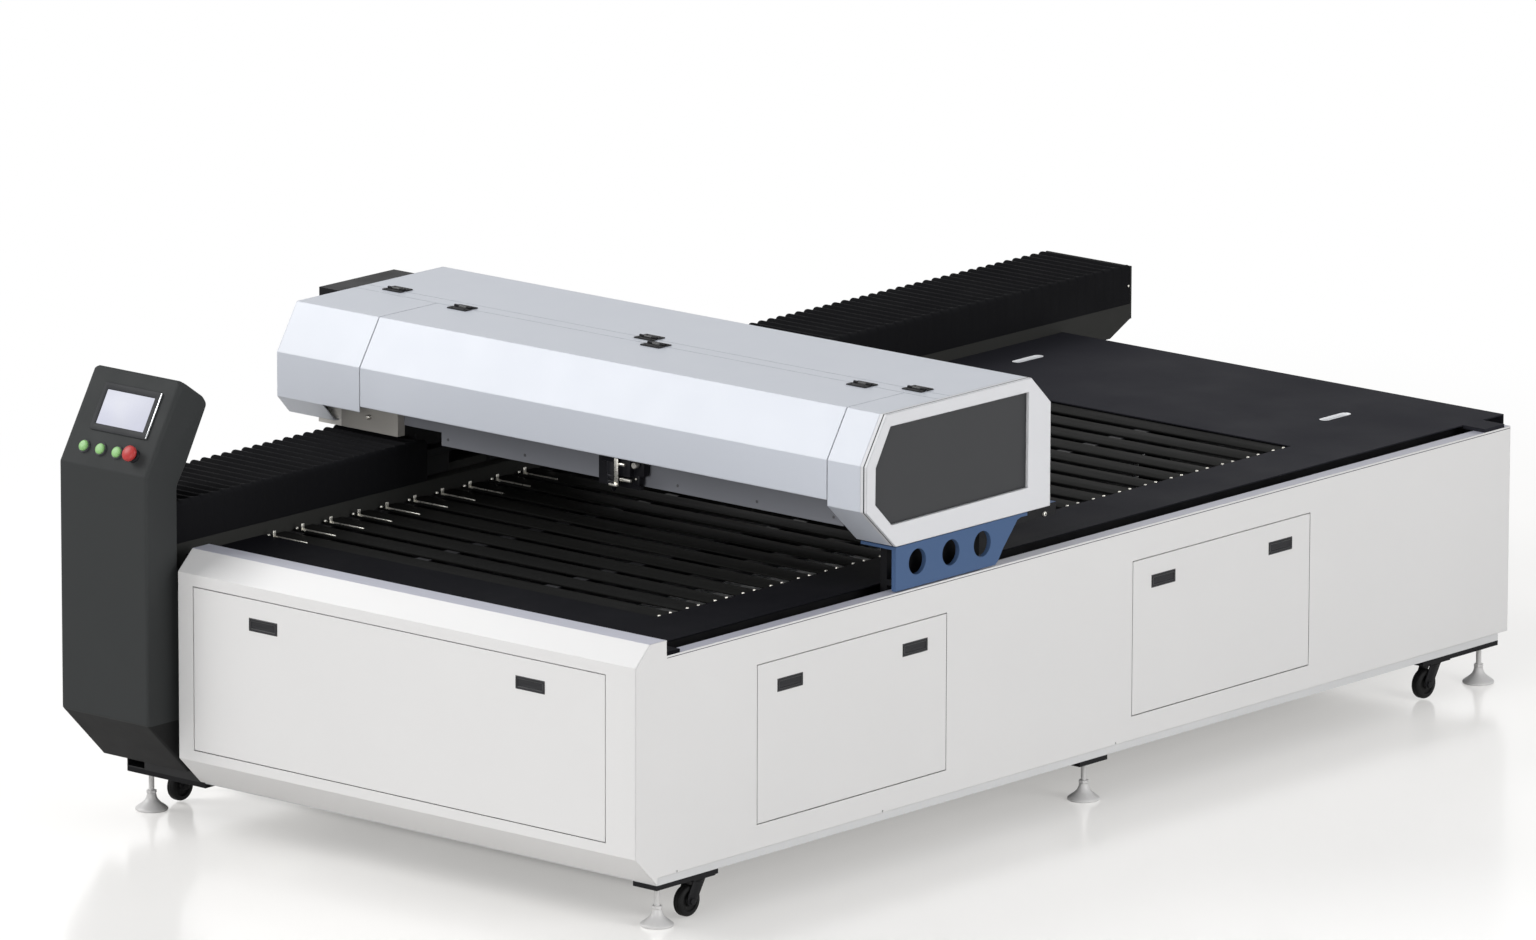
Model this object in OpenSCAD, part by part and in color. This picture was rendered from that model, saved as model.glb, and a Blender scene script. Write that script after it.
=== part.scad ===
// Flatbed laser cutting machine with a travelling gantry, in millimetres.
// In the modules X = 0 is the right side of the cabinet, Y = 0 its front cover and Z = 0 the floor;
// placed() then moves everything so that the origin is the middle of the footprint, on the floor.

/* [Cabinet] */
// Length of the cabinet's sides
cab_l = 3300; // [3200:10:3500]
// Width of the cabinet
cab_w = 1700; // [1660:10:1800]
// Height of the side panels' top edge
cab_top = 655; // [640:5:700]
// Height of the side panels' lower edge
panel_low = 129; // [120:1:140]
// Height of the underside of the base frame
base_z = 110; // [105:1:118]
// Thickness of the cabinet's sheet
sheet_t = 2; // [1.5:0.5:3]
// Width of the ledge along the top of a side panel
ledge_w = 36; // [30:1:40]
// How far the front cover ends short of the cabinet's left side
cover_short = 247; // [230:1:260]
// How far the front cover stands forward of the frame
cover_d = 76; // [70:1:85]
// Height of the front cover's top over the side panels
cover_rise = 37; // [25:1:50]
// Depth of the front cover's top, bevel included
cover_lip = 108; // [100:1:112]
// Depth of the front cover's top bevel
bevel_d = 51; // [40:1:60]
// Height of the front cover's top bevel
bevel_h = 48; // [40:1:60]
// Size of every tube of the base frame
tube = 60; // [50:5:60]
// Wall of the frame's tubes
tube_t = 3; // [2:0.5:4]
// How far the frame ends short of the cabinet's rear
frame_short = 35; // [25:5:45]

/* [Doors] */
// Distance of the front door from the front cover's left end
front_door_left = 50; // [40:1:90]
// Distance of the front door from the right side
front_door_x = 95; // [80:1:110]
// Height of the front door
front_door_h = 399; // [360:1:405]
// Height of the front door's lower edge
front_door_z = 214; // [205:1:220]
// Width of a side door
side_door_w = 684; // [600:1:700]
// Height of a side door
side_door_h = 382; // [340:1:390]
// Distance of the front side door from the front
side_door_1 = 430; // [400:1:460]
// Distance of the rear side door behind the middle uprights
side_door_2 = 113.5; // [100:0.5:140]
// Height of the side doors' lower edge
side_door_z = 190; // [185:1:200]
// Gap round a door
door_gap = 2; // [2:0.5:4]
// Depth of a door's folded edges
door_d = 12; // [8:1:13]
// Width of a latch
latch_w = 89; // [70:1:95]
// Height of a latch
latch_h = 29; // [26:1:50]
// Height of the front door's latches above its lower edge
front_latch_v = 338; // [300:1:340]
// Height of a side door's latches above its lower edge
side_latch_v = 321; // [280:1:325]

/* [Bed] */
// Height of the table's top over the side panels
table_rise = 9; // [6:1:12]
// Thickness of the table sheets
table_t = 3; // [2:0.5:4]
// Width of the groove between ledge and table
groove_w = 34; // [30:1:38]
// Distance of the bed opening from the right side
bed_right = 245; // [235:1:260]
// Distance of the bed opening's front edge from the front
bed_front = 350; // [330:5:400]
// Length of the rear plate over the cabinet
rear_plate_l = 570; // [500:5:800]
// How far the table hangs over the cabinet's rear
table_over = 63; // [40:1:80]
// Height of the fold at the table's rear edge
fold_h = 30; // [20:1:35]
// Pitch of the slats
slat_pitch = 100; // [90:1:130]
// Width of a slat
slat_w = 70; // [40:1:80]
// Thickness of a slat
slat_t = 5; // [3:0.5:5.5]
// Length of a slat's locating clip
clip_l = 135; // [80:1:160]
// Length of a finger slot in the rear plate
slot_l = 112; // [60:1:130]
// Width of a finger slot
slot_w = 30; // [24:1:40]

/* [Rail beam] */
// How far the rail beam stands out past the cabinet's left side
rail_over = 86; // [70:1:100]
// Width of the rail beam
rail_w = 284; // [270:1:290]
// Height of the rail beam
rail_h = 94; // [80:1:100]
// Wall of the rail beam
rail_t = 6; // [4:0.5:8]
// How far the rail beam reaches past the cabinet's rear
rail_rear = 342; // [300:1:360]
// Height of the bellows
bellows_h = 105; // [95:1:110]
// Pitch of the bellows' pleats
pleat = 36; // [25:1:45]
// Depth of the bellows' pleats
pleat_d = 12; // [8:1:15]
// Diameter of the drive screw
screw_d = 25; // [20:1:25]

/* [Control column] */
// Width of the column
col_w = 286; // [260:1:286]
// Depth of the column in front of the rail beam
col_d = 108; // [100:1:115]
// How far the column stands forward of the front cover
col_front = 84; // [75:1:92]
// Height of the neck, where the head starts to lean
neck_z = 883; // [860:1:900]
// Length of the head's leaning face
head_l = 250; // [230:1:256]
// Angle of the head's face from the vertical
lean = 30; // [20:1:35]
// Radius of the head's top corners
head_r = 28; // [10:1:40]
// Width of the screen's glass
lcd_w = 154; // [120:1:160]
// Height of the screen's glass
lcd_h = 87; // [70:1:92]
// Diameter of a push button's bezel
button_d = 32; // [26:0.5:36]
// Diameter of the emergency stop's head
estop_d = 40; // [34:1:44]

/* [Gantry] */
// Distance of the gantry's face from the cabinet's front
g_y = 814; // [700:1:900]
// Depth of the gantry's cover
g_d = 676; // [676:1:700]
// Height of the gantry's underside over the table
g_clear = 106; // [104:1:116]
// Height of the gantry's cover
g_h = 325; // [320:1:350]
// How far the right end stands out past the cabinet
g_right = 5; // [2:1:20]
// How far the left end stands out past the cabinet
g_left = 187; // [180:1:200]
// Thickness of the gantry's sheet
g_t = 2; // [1.5:0.5:3]
// Width of the left end cap
cap_left = 274; // [240:1:280]
// Width of the right end cap
cap_right = 123; // [110:1:135]
// Depth of the tail cover past the left end
tail_l = 85; // [60:1:100]
// Diameter of the laser tube
laser_d = 80; // [60:1:84]
// Length of the laser tube
laser_l = 1600; // [1400:10:1620]
// Diameter of the holes in the blue bracket
hole_d = 63; // [40:1:66]

/* [Feet and castors] */
// Diameter of a foot's pad
foot_d = 80; // [60:1:84]
// Diameter of a foot's stem
stem_d = 14; // [10:1:16]
// Thickness of the corner plates
plate_t = 12; // [8:1:14]
// Diameter of a castor's wheel
wheel_d = 75; // [60:1:76]
// Width of a castor's wheel
wheel_w = 25; // [20:1:30]

/* [Hidden] */
$fn = 48;

white = [0.86, 0.86, 0.87];
black = [0.12, 0.12, 0.13];
steel = [0.62, 0.63, 0.65];

cut = 5;      // how far a cutting tool runs past what it cuts
fit = 0.05;   // radial clearance of a running fit
gap = 0.3;    // clearance between neighbouring pieces

// ---- folded sheet and tubes ----

function unit(v) = v / norm(v);
function left(v) = [-v[1], v[0]];
// the corner at b of the line a-b-c, moved t to its left
function miter(a, b, c, t) =
    let (n1 = left(unit(b - a)), n2 = left(unit(c - b))) b + t * (n1 + n2) / (1 + n1 * n2);
// a closed outline moved inwards by t
function inset(p, t) =
    let (n = len(p)) [for (i = [0:n - 1]) miter(p[(i + n - 1) % n], p[i], p[(i + 1) % n], t)];
// the section of a folded sheet: an open line, thickened by t to its left
function fold(p, t) =
    let (n = len(p)) concat(p, [for (i = [n - 1:-1:0])
        i == 0 ? p[0] + t * left(unit(p[1] - p[0]))
        : i == n - 1 ? p[i] + t * left(unit(p[i] - p[i - 1]))
        : miter(p[i - 1], p[i], p[i + 1], t)]);

module block(x, y, z) {
    translate([x[0], y[0], z[0]]) cube([x[1] - x[0], y[1] - y[0], z[1] - z[0]]);
}
// a section drawn in Y and Z, run along X
module along_x(x) {
    translate([x[0], 0, 0]) rotate([90, 0, 90]) linear_extrude(x[1] - x[0]) children();
}
// a section drawn in X and Z, run along Y
module along_y(y) {
    translate([0, y[1], 0]) rotate([90, 0, 0]) linear_extrude(y[1] - y[0]) children();
}
module rod_x(x, y, z, r) {
    translate([x[0], y, z]) rotate([0, 90, 0]) cylinder(h = x[1] - x[0], r = r);
}
module rod_y(x, y, z, r) {
    translate([x, y[1], z]) rotate([90, 0, 0]) cylinder(h = y[1] - y[0], r = r);
}
module rod_z(x, y, z, r) {
    translate([x, y, z[0]]) cylinder(h = z[1] - z[0], r = r);
}
// square tubes along each axis, open at both ends
module tube_x(x, y, z, t = tube_t) {
    difference() {
        block(x, y, z);
        block([x[0] - cut, x[1] + cut], [y[0] + t, y[1] - t], [z[0] + t, z[1] - t]);
    }
}
module tube_y(x, y, z, t = tube_t) {
    difference() {
        block(x, y, z);
        block([x[0] + t, x[1] - t], [y[0] - cut, y[1] + cut], [z[0] + t, z[1] - t]);
    }
}

// ---- places that several pieces share ----

frame_y1 = cab_l - frame_short;
cross_y = [cover_d, (cover_d + frame_y1 - tube) / 2, frame_y1 - tube];
cover_w = cab_w - cover_short;
cover_top = cab_top + cover_rise;
front_door_w = cover_w - front_door_x - front_door_left;
side_door_y = [side_door_1, cross_y[1] + tube + side_door_2];
bed_rear = cab_l - rear_plate_l;
rail_z = cab_top - 55;                  // top of the upper rails and of the cross tubes
bearer_h = 40;                          // height of the upper rails
rail_back = 20;                         // how far upper rails stand back from the panels
table_z = cab_top + table_rise;         // top of the table sheets
seat_z = table_z - table_t - 1 - slat_t; // top of the tubes that carry the slats
ledge_tube = 40;                        // width of the tubes that carry the slats
table_x1 = -ledge_w - groove_w;         // right edge of the table sheets
beam_x = [-cab_w - rail_over, -cab_w - rail_over + rail_w];
beam_z1 = rail_z + rail_h;              // top of the rail beam
bellows_z1 = beam_z1 + bellows_h;       // top of the bellows
over_bellows = bellows_z1 + 8;          // what passes over the bellows stays above this
end_plate_z = bellows_z1 - 6;           // top of the beam's end plate
col_rear = col_d - col_front;           // back of the column's shaft
beam_y = [col_rear, cab_l + rail_rear];
col_x1 = -cover_w - 22;
col_x = [col_x1 - col_w, col_x1];
track_x = -ledge_w - groove_w / 2;      // middle of the right linear rail
track_w = 20;
track_h = 20;
left_tracks = [beam_x[0] + 46, beam_x[1] - 46];
screw_x = (beam_x[0] + beam_x[1]) / 2;
screw_z = beam_z1 + 34;
screw_y1 = beam_y[1] - 175;             // rear end of the drive screw

g_low = table_z + g_clear;
g_top = g_low + g_h;
// gantry outline in Y and Z, as seen on its right end
g_outline = [
    [g_y + 107, g_low], [g_y + g_d, g_low], [g_y + g_d, g_top - 71], [g_y + g_d - 73, g_top],
    [g_y + 72, g_top], [g_y, g_top - 115], [g_y, g_low + 99]
];
g_x = [-cab_w - g_left, g_right];
g_end_t = 20;                           // thickness of the right end panel
seam = 2;                               // gap beside a lid
front_hinge_y = g_y + 281;
rear_hinge_y = g_y + 326;
lid_axis_h = 3.5;                       // height of the lid hinges' pins over the top
cap_x = [g_x[0] + cap_left, g_right - cap_right];
bx = [g_x[0] + g_t, g_x[1] - g_end_t];  // ends of the gantry beam
bm_y = [g_y + 86, g_y + 246];
bm_z = [g_low + 63, g_low + 190];
face_x = [g_x[0] + 486, cap_x[1] - 2];   // the deeper face plate under the head's rail
face_t = 24;
stand_x = [beam_x[0] + 55, beam_x[1] - 43]; // ends of the stand that carries the beam on the left
shelf_t = 8;
shelf_y = g_y + 590;
tube_y0 = g_y + 476;                    // axis of the laser tube
tube_z0 = bm_z[0] + shelf_t + 119;
tube_x = [g_x[0] - tail_l + 25, g_x[0] - tail_l + 25 + laser_l];
mount_in = [380, 320];                  // distance of the tube's mounts from its ends
mount_x = [tube_x[0] + mount_in[0], tube_x[1] - mount_in[1]];
mirror_off = 130;                       // distance of the mirrors from the tube's end
mirror_x = tube_x[1] + mirror_off;
head_x = (cap_x[0] + cap_x[1]) / 2 + 53.5; // middle of the head carriage
head_w = 134;
optic_y = g_y + 27;                     // axis of the cutting head
head_rail_z = bm_z[1] - 40;
pulley_z = bm_z[1] + 35;
pulley_r = 15;
pulley_y = [g_y + 36, g_y + 46];
pulley_x = [bx[0] + 310, bx[1] - 150];
carriage_y = [g_y + 126, g_y + 476];    // length of the carriages that run on the left rails

// control head
knob_row = 46;                          // distance of the buttons from the neck
knob_x = [col_x[0] + 64, col_x[0] + 118, col_x[0] + 172];
estop_x = col_x[1] - 60;
estop_h = 30;
estop_rim = 27;                         // height of the rounded rim, the machine's foremost point

// castors and feet
foot_x = 40;
foot_y = [cross_y[0] + 44, cross_y[1] + 40.5, frame_y1 - 28];
castor_y = [cross_y[0] + 174, frame_y1 - 226];
castor_x = 38;
trail = 28;
wheel_clear = 3;
wheel_z = wheel_clear + wheel_d / 2;
plate_z = base_z - plate_t;
castor_top = plate_z - 4;
fork_h = 10;

x_min = g_x[0] - tail_l;
y_min = -col_front + knob_row * sin(lean) - estop_rim * cos(lean) - (estop_d / 2 - 4) * sin(lean);
module placed() {
    translate([-(x_min + g_x[1]) / 2, -(y_min + beam_y[1]) / 2, 0]) children();
}
// the two sides of the machine: as drawn on the right, and its mirror image on the left
module both_sides() {
    children();
    translate([-cab_w, 0, 0]) mirror([1, 0, 0]) children();
}
// door coordinates (along the hinge, inwards, up) on the right side, from distance y
module on_side(y, z) {
    translate([0, y, z]) rotate([0, 0, 90]) children();
}
module on_front() {
    translate([-front_door_x - front_door_w, 0, front_door_z]) children();
}
// coordinates on the column's leaning face: X across, Y into the face, Z up along it
module on_head() {
    translate([0, -col_front, neck_z]) rotate([-lean, 0, 0]) children();
}

// ---- cabinet ----

bottom_x = [-sheet_t - tube, -sheet_t];
upper_x = [-sheet_t - rail_back - tube, -sheet_t - rail_back];
inner_rail_x = [-cab_w + 410, -cab_w + 410 + tube];
bed_left = beam_x[1];
right_support = -bed_right + 23 - ledge_tube;
slat_supports = [for (i = [0:3]) bed_left + i * (right_support - bed_left) / 3];
bearer_y = [bed_front - 150, bed_rear + 70, frame_y1 - tube];
table_tube_x = [table_x1 - 60, table_x1 - 30];

module base_frame() color([0.80, 0.80, 0.81]) placed() {
    both_sides() {
        tube_y(bottom_x, [cover_d, frame_y1], [base_z, base_z + tube]);
        tube_y(upper_x, [cover_d, frame_y1], [rail_z - bearer_h, rail_z]);
        for (y = cross_y)
            block(upper_x, [y, y + tube], [base_z + tube, rail_z - bearer_h]);
    }
    tube_y(inner_rail_x, [cover_d + tube, frame_y1 - tube], [base_z, base_z + tube]);
    for (y = cross_y) {
        tube_x([bottom_x[0] - cab_w + 2 * sheet_t + 2 * tube, bottom_x[0]], [y, y + tube],
            [base_z, base_z + tube]);
        tube_x([-cab_w - upper_x[0], upper_x[0]], [y, y + tube], [rail_z - tube, rail_z]);
    }
    for (x = slat_supports)
        tube_y([x, x + ledge_tube], [cover_d, frame_y1], [rail_z, seat_z]);
    tube_y(table_tube_x, [cover_d, frame_y1], [rail_z, table_z - table_t]);
    for (y = bearer_y)
        tube_x([bed_left, table_tube_x[0]], [y, y + ledge_tube], [seat_z - 25, table_z - table_t]);
}

cover_line = [
    [cover_lip, table_z + gap], [cover_lip, cover_top], [bevel_d, cover_top],
    [0, cover_top - bevel_h], [0, base_z + cover_d], [cover_d - 3, base_z + 3]
];
// outline of the cover's side, seen from the right
cheek = [
    [0, base_z + cover_d], [cover_d, base_z], [cover_d, panel_low], [cab_l, panel_low],
    [cab_l, cab_top], [cover_lip, cab_top], [cover_lip, cover_top], [bevel_d, cover_top],
    [0, cover_top - bevel_h]
];
notch_y = [141, 879, 1749];
notch = 6;

module door_opening(w, h) {
    block([-door_gap, w + door_gap], [-cut, sheet_t + cut], [-door_gap, h + door_gap]);
}

module front_cover() color(white) placed() {
    difference() {
        along_x([-cover_w, -sheet_t]) polygon(fold(cover_line, sheet_t));
        on_front() door_opening(front_door_w, front_door_h);
    }
    along_x([-cover_w, -cover_w + sheet_t]) polygon([
        [sheet_t, base_z + cover_d], [cover_d - 3, base_z + 6], [cover_d - 1, table_z + gap],
        [cover_lip - sheet_t, table_z + gap], [cover_lip - sheet_t, cover_top - sheet_t],
        [bevel_d, cover_top - sheet_t], [sheet_t, cover_top - bevel_h]
    ]);
}

module right_side_panel() color(white) placed() {
    difference() {
        along_x([-sheet_t, 0]) polygon(cheek);
        for (y = side_door_y)
            on_side(y, side_door_z) door_opening(side_door_w, side_door_h);
        for (y = notch_y)
            block([-cut, cut], [y, y + notch], [panel_low - cut, panel_low + notch]);
    }
    block([-ledge_w, -sheet_t], [cover_lip, cab_l], [cab_top - sheet_t, cab_top]);
}

module left_side_panel() color(white) placed() {
    block([-cab_w, -cab_w + sheet_t], [cover_d, cab_l], [panel_low, rail_z - gap]);
}

spigot_d = 150;
spigot_l = 60;
spigot_x = [-cab_w / 2 + 290, -cab_w / 2 - 290];
spigot_z = 350;
module rear_panel() color(white) placed() {
    difference() {
        union() {
            block([-cab_w + sheet_t, -sheet_t], [cab_l - sheet_t, cab_l], [panel_low, cab_top - sheet_t]);
            block([-cab_w + sheet_t, -sheet_t], [frame_y1, cab_l - sheet_t],
                [panel_low, panel_low + sheet_t]);
        }
        for (x = spigot_x)
            rod_y(x, [cab_l - cut, cab_l + cut], spigot_z, spigot_d / 2 - sheet_t);
        // room for the rail beam, which passes over the panel's left end
        block([-cab_w - cut, beam_x[1] + gap], [frame_y1 - cut, cab_l + cut], [rail_z, cab_top]);
    }
    for (x = spigot_x)
        difference() {
            union() {
                rod_y(x, [cab_l, cab_l + spigot_l], spigot_z, spigot_d / 2);
                rod_y(x, [cab_l, cab_l + sheet_t], spigot_z, spigot_d / 2 + 18);
            }
            rod_y(x, [cab_l - cut, cab_l + spigot_l + cut], spigot_z, spigot_d / 2 - sheet_t);
        }
}

cap_front = [cover_lip + gap, 154];
cap_rear = [cab_l - 104, cab_l - 25];
module table_sheets() color([0.19, 0.19, 0.21]) placed() {
    z = [table_z - table_t, table_z];
    block([bed_left + gap, table_x1], [cover_d + 4, bed_front], z);
    block([-bed_right, table_x1], [bed_front, bed_rear], z);
    // closes the groove at its front end
    block([table_x1, 0], cap_front, [cab_top, table_z]);
    // closes the groove at its rear end
    block([table_x1 + gap, 0], cap_rear, [cab_top, table_z]);
}

slot_x = [table_x1 - 298, bed_left + 135];
slot_y = cab_l - 240;
cup_h = 12;                             // height of the shallow cup under a finger slot
cup_t = 2;
// a finger slot's shape, r round its middle line
module slot(x, z, r) {
    reach = (slot_l - slot_w) / 2;
    for (s = [-1, 1])
        rod_z(x, slot_y + s * reach, z, r);
    block([x - r, x + r], [slot_y - reach, slot_y + reach], z);
}
module rear_table_plate() color([0.20, 0.20, 0.22]) placed() {
    difference() {
        union() {
            block([bed_left + gap, table_x1], [bed_rear, cab_l + table_over],
                [table_z - table_t, table_z]);
            block([bed_left + gap, table_x1], [cab_l + table_over - table_t, cab_l + table_over],
                [table_z - fold_h, table_z]);
        }
        for (x = slot_x)
            slot(x, [table_z - table_t - cut, table_z + cut], slot_w / 2);
    }
    for (x = slot_x)
        difference() {
            slot(x, [table_z - cup_h, table_z], slot_w / 2);
            slot(x, [table_z - cup_h + cup_t, table_z + cut], slot_w / 2 - cup_t);
        }
}

slat_count = floor((bed_rear - bed_front - slat_w) / slat_pitch) + 1;
slat_under = 15;                        // how far a slat's right end runs under the sheet
slat_x = [bed_left + gap, -bed_right + slat_under];
screw_in = 15;                          // a slat's two screws from its edges
screw_r = 4;
screw_h = 4;
stud_h = 5;
clip_in = 25;         // distance of a clip from the slat's left end
clip_d = 4;
clip_h = 16;
module slats() color([0.13, 0.13, 0.14]) placed() {
    top = seat_z + slat_t;
    for (k = [0:slat_count - 1]) {
        y = bed_front + 4 + k * slat_pitch;
        block(slat_x, [y, y + slat_w], [seat_z, top]);
        // locating clip: an upright tab, a pin along the slat and a stud beside it
        block([slat_x[0] + clip_in, slat_x[0] + clip_in + 3], [y + 1, y + 11], [top, top + clip_h]);
        rod_x([slat_x[0] + clip_in + 3, slat_x[0] + clip_in + clip_l], y + 6, top + clip_d / 2 + 0.1,
            clip_d / 2);
        rod_z(slat_x[0] + 8, y + 6, [top, top + stud_h], screw_r);
        // the two screws at the right end, just clear of the sheet over them
        for (s = [screw_in, slat_w - screw_in])
            rod_z(-bed_right - 8, y + s, [top, top + screw_h], screw_r);
    }
}

tray_x = [inner_rail_x[1] + 10, upper_x[0] - 8];
tray_h = 60;
tray_front = 25;                        // the front tray starts this far behind a cross tube
tray_rear = 35;                         // and the rear tray this far
module tray(y) {
    z = base_z + tube;
    difference() {
        block(tray_x, y, [z, z + tray_h]);
        block([tray_x[0] + sheet_t, tray_x[1] - sheet_t], [y[0] + sheet_t, y[1] - sheet_t],
            [z + sheet_t, z + tray_h + cut]);
    }
}
module scrap_trays() color([0.60, 0.61, 0.62]) placed() {
    tray([cross_y[0] + tray_front, cross_y[1] + tray_front]);
    tray([cross_y[1] + tray_rear, cross_y[2] + tray_rear]);
}

// ---- rail beam, rails and bellows ----

module rail_beam() color([0.19, 0.19, 0.19]) placed() {
    difference() {
        tube_y(beam_x, [beam_y[0], beam_y[1] - rail_t], [rail_z, beam_z1], rail_t);
        // the rear end is cut back underneath
        along_x([beam_x[0] - cut, beam_x[1] + cut]) polygon([
            [beam_y[1] - 140, rail_z - cut], [beam_y[1] + cut, rail_z - cut],
            [beam_y[1] + cut, rail_z + 56], [beam_y[1] - rail_t, rail_z + 54],
            [beam_y[1] - 86, rail_z + 14], [beam_y[1] - 140, rail_z + 14]
        ]);
    }
    // end plate, almost as high as the bellows
    block(beam_x, [beam_y[1] - rail_t, beam_y[1]], [rail_z + 54, end_plate_z]);
}

module linear_rails() color(steel) placed() {
    block([track_x - track_w / 2, track_x + track_w / 2], [cap_front[1] + 10, cap_rear[0] - 10],
        [rail_z, rail_z + track_h]);
    for (x = left_tracks)
        block([x - track_w / 2, x + track_w / 2], [beam_y[0] + 20, beam_y[1] - 200],
            [beam_z1, beam_z1 + track_h]);
}

bellows_wall = 3;
// section of the bellows in Y and Z: pleats along the top
function pleats(y0, y1, z0, z1) =
    let (n = floor((y1 - y0) / pleat), step = (y1 - y0) / n)
    concat([[y1, z0], [y1, z1 - pleat_d]],
        [for (i = [n - 1:-1:0], s = [0, 1])
            s == 0 ? [y0 + (i + 0.5) * step, z1] : [y0 + i * step, z1 - pleat_d]],
        [[y0, z0]]);
module bellows(y) {
    difference() {
        along_x(beam_x) polygon(pleats(y[0], y[1], beam_z1 + gap, bellows_z1));
        block([beam_x[0] + bellows_wall, beam_x[1] - bellows_wall], [y[0] - cut, y[1] + cut],
            [beam_z1 - cut, bellows_z1 - pleat_d - bellows_wall]);
    }
}
module bellows_front() color(black) placed() bellows([beam_y[0], carriage_y[0] - 4]);
module bellows_rear() color(black) placed() bellows([carriage_y[1] + 4, beam_y[1] - rail_t]);

drive_bearings = [beam_y[0] + 36, screw_y1 - 30];
bearing_l = 25;
module gantry_drive() color([0.25, 0.25, 0.27]) placed() {
    for (y = drive_bearings)
        difference() {
            block([screw_x - 35, screw_x + 35], [y, y + bearing_l], [beam_z1, screw_z + 30]);
            rod_y(screw_x, [y - cut, y + bearing_l + cut], screw_z, screw_d / 2 + fit);
        }
    // motor, and the plate that carries it behind the screw's end
    block([screw_x - 30, screw_x + 30], [screw_y1 + 14, screw_y1 + 130], [beam_z1 + 4, screw_z + 30]);
    block([screw_x - 42, screw_x + 42], [screw_y1 + 6, screw_y1 + 14], [beam_z1, screw_z + 36]);
}
module drive_screw() color(steel) placed()
    rod_y(screw_x, [drive_bearings[0] + 1, screw_y1 + 5], screw_z, screw_d / 2);

// ---- feet and castors ----

mid_plate = [cross_y[1] - 20.5, cross_y[1] + 83.5];
rear_plate = [frame_y1 - 303, frame_y1];
module corner_plates() color(black) placed() {
    z = [plate_z, base_z];
    both_sides() for (y = [[cover_d, 293], mid_plate, rear_plate])
        block([-76, -sheet_t], y, z);
    // the front left plate runs on along the front tube
    block([-cab_w + 76, -cab_w + 260], [cover_d, cover_d + 54], z);
    // the castors' top plates
    both_sides() for (y = castor_y)
        block([-72, -6], [y - 38, y + 38], [castor_top, plate_z]);
}

module levelling_feet() color([0.80, 0.79, 0.79]) placed() both_sides()
    for (y = foot_y) translate([-foot_x, y, 0]) {
        cylinder(h = 6, r = foot_d / 2);
        translate([0, 0, 6]) cylinder(h = 16, r1 = foot_d / 2, r2 = stem_d / 2 + 4);
        cylinder(h = plate_z, r = stem_d / 2);
        translate([0, 0, plate_z - 10]) cylinder(h = 10, r = 14, $fn = 6);
    }

// a castor's fork with its stem and axle; it trails towards the front
module fork(side, y) {
    wheel_y = y - trail;
    half = wheel_w / 2 + 1.5;
    translate([side, 0, 0]) {
        rod_z(0, y, [castor_top - fork_h, castor_top - gap], 26);
        for (s = [-1, 1])
            translate([s * (half + 1.5), 0, 0]) along_x([-1.5, 1.5]) polygon([
                [wheel_y - 13, wheel_z - 10], [wheel_y + 13, wheel_z - 10], [y + 20, castor_top - 6],
                [y + 20, castor_top - gap], [y - 20, castor_top - gap], [wheel_y - 13, wheel_z + 12]
            ]);
        rod_x([-half - 5, half + 5], wheel_y, wheel_z, 5);
    }
}
module wheel(side, y) {
    difference() {
        union() {
            rod_x([side - wheel_w / 2, side + wheel_w / 2], y - trail, wheel_z, wheel_d / 2 - 3);
            rod_x([side - wheel_w / 2 + 4, side + wheel_w / 2 - 4], y - trail, wheel_z, wheel_d / 2);
        }
        rod_x([side - wheel_w, side + wheel_w], y - trail, wheel_z, 5 + fit);
    }
}
castor_left = -cab_w + castor_x;
module fork_front_right() color(black) placed() fork(-castor_x, castor_y[0]);
module fork_front_left() color(black) placed() fork(castor_left, castor_y[0]);
module fork_rear_right() color(black) placed() fork(-castor_x, castor_y[1]);
module fork_rear_left() color(black) placed() fork(castor_left, castor_y[1]);
module wheel_front_right() color(black) placed() wheel(-castor_x, castor_y[0]);
module wheel_front_left() color(black) placed() wheel(castor_left, castor_y[0]);
module wheel_rear_right() color(black) placed() wheel(-castor_x, castor_y[1]);
module wheel_rear_left() color(black) placed() wheel(castor_left, castor_y[1]);

// ---- control column ----

head_top = [-col_front + head_l * sin(lean), neck_z + head_l * cos(lean)];
col_profile = [
    [cover_d - 20, base_z + 26], [cover_d, base_z + 26], [cover_d, rail_z - gap],
    [col_rear, rail_z - gap], [col_rear, neck_z - 40], [col_rear + 35, neck_z + 14],
    [head_top[0] + 90, head_top[1] - 72], [head_top[0] + 76, head_top[1] - 52], head_top,
    [-col_front, neck_z], [-col_front, base_z + 26 + cover_d - 20 + col_front]
];
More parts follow.
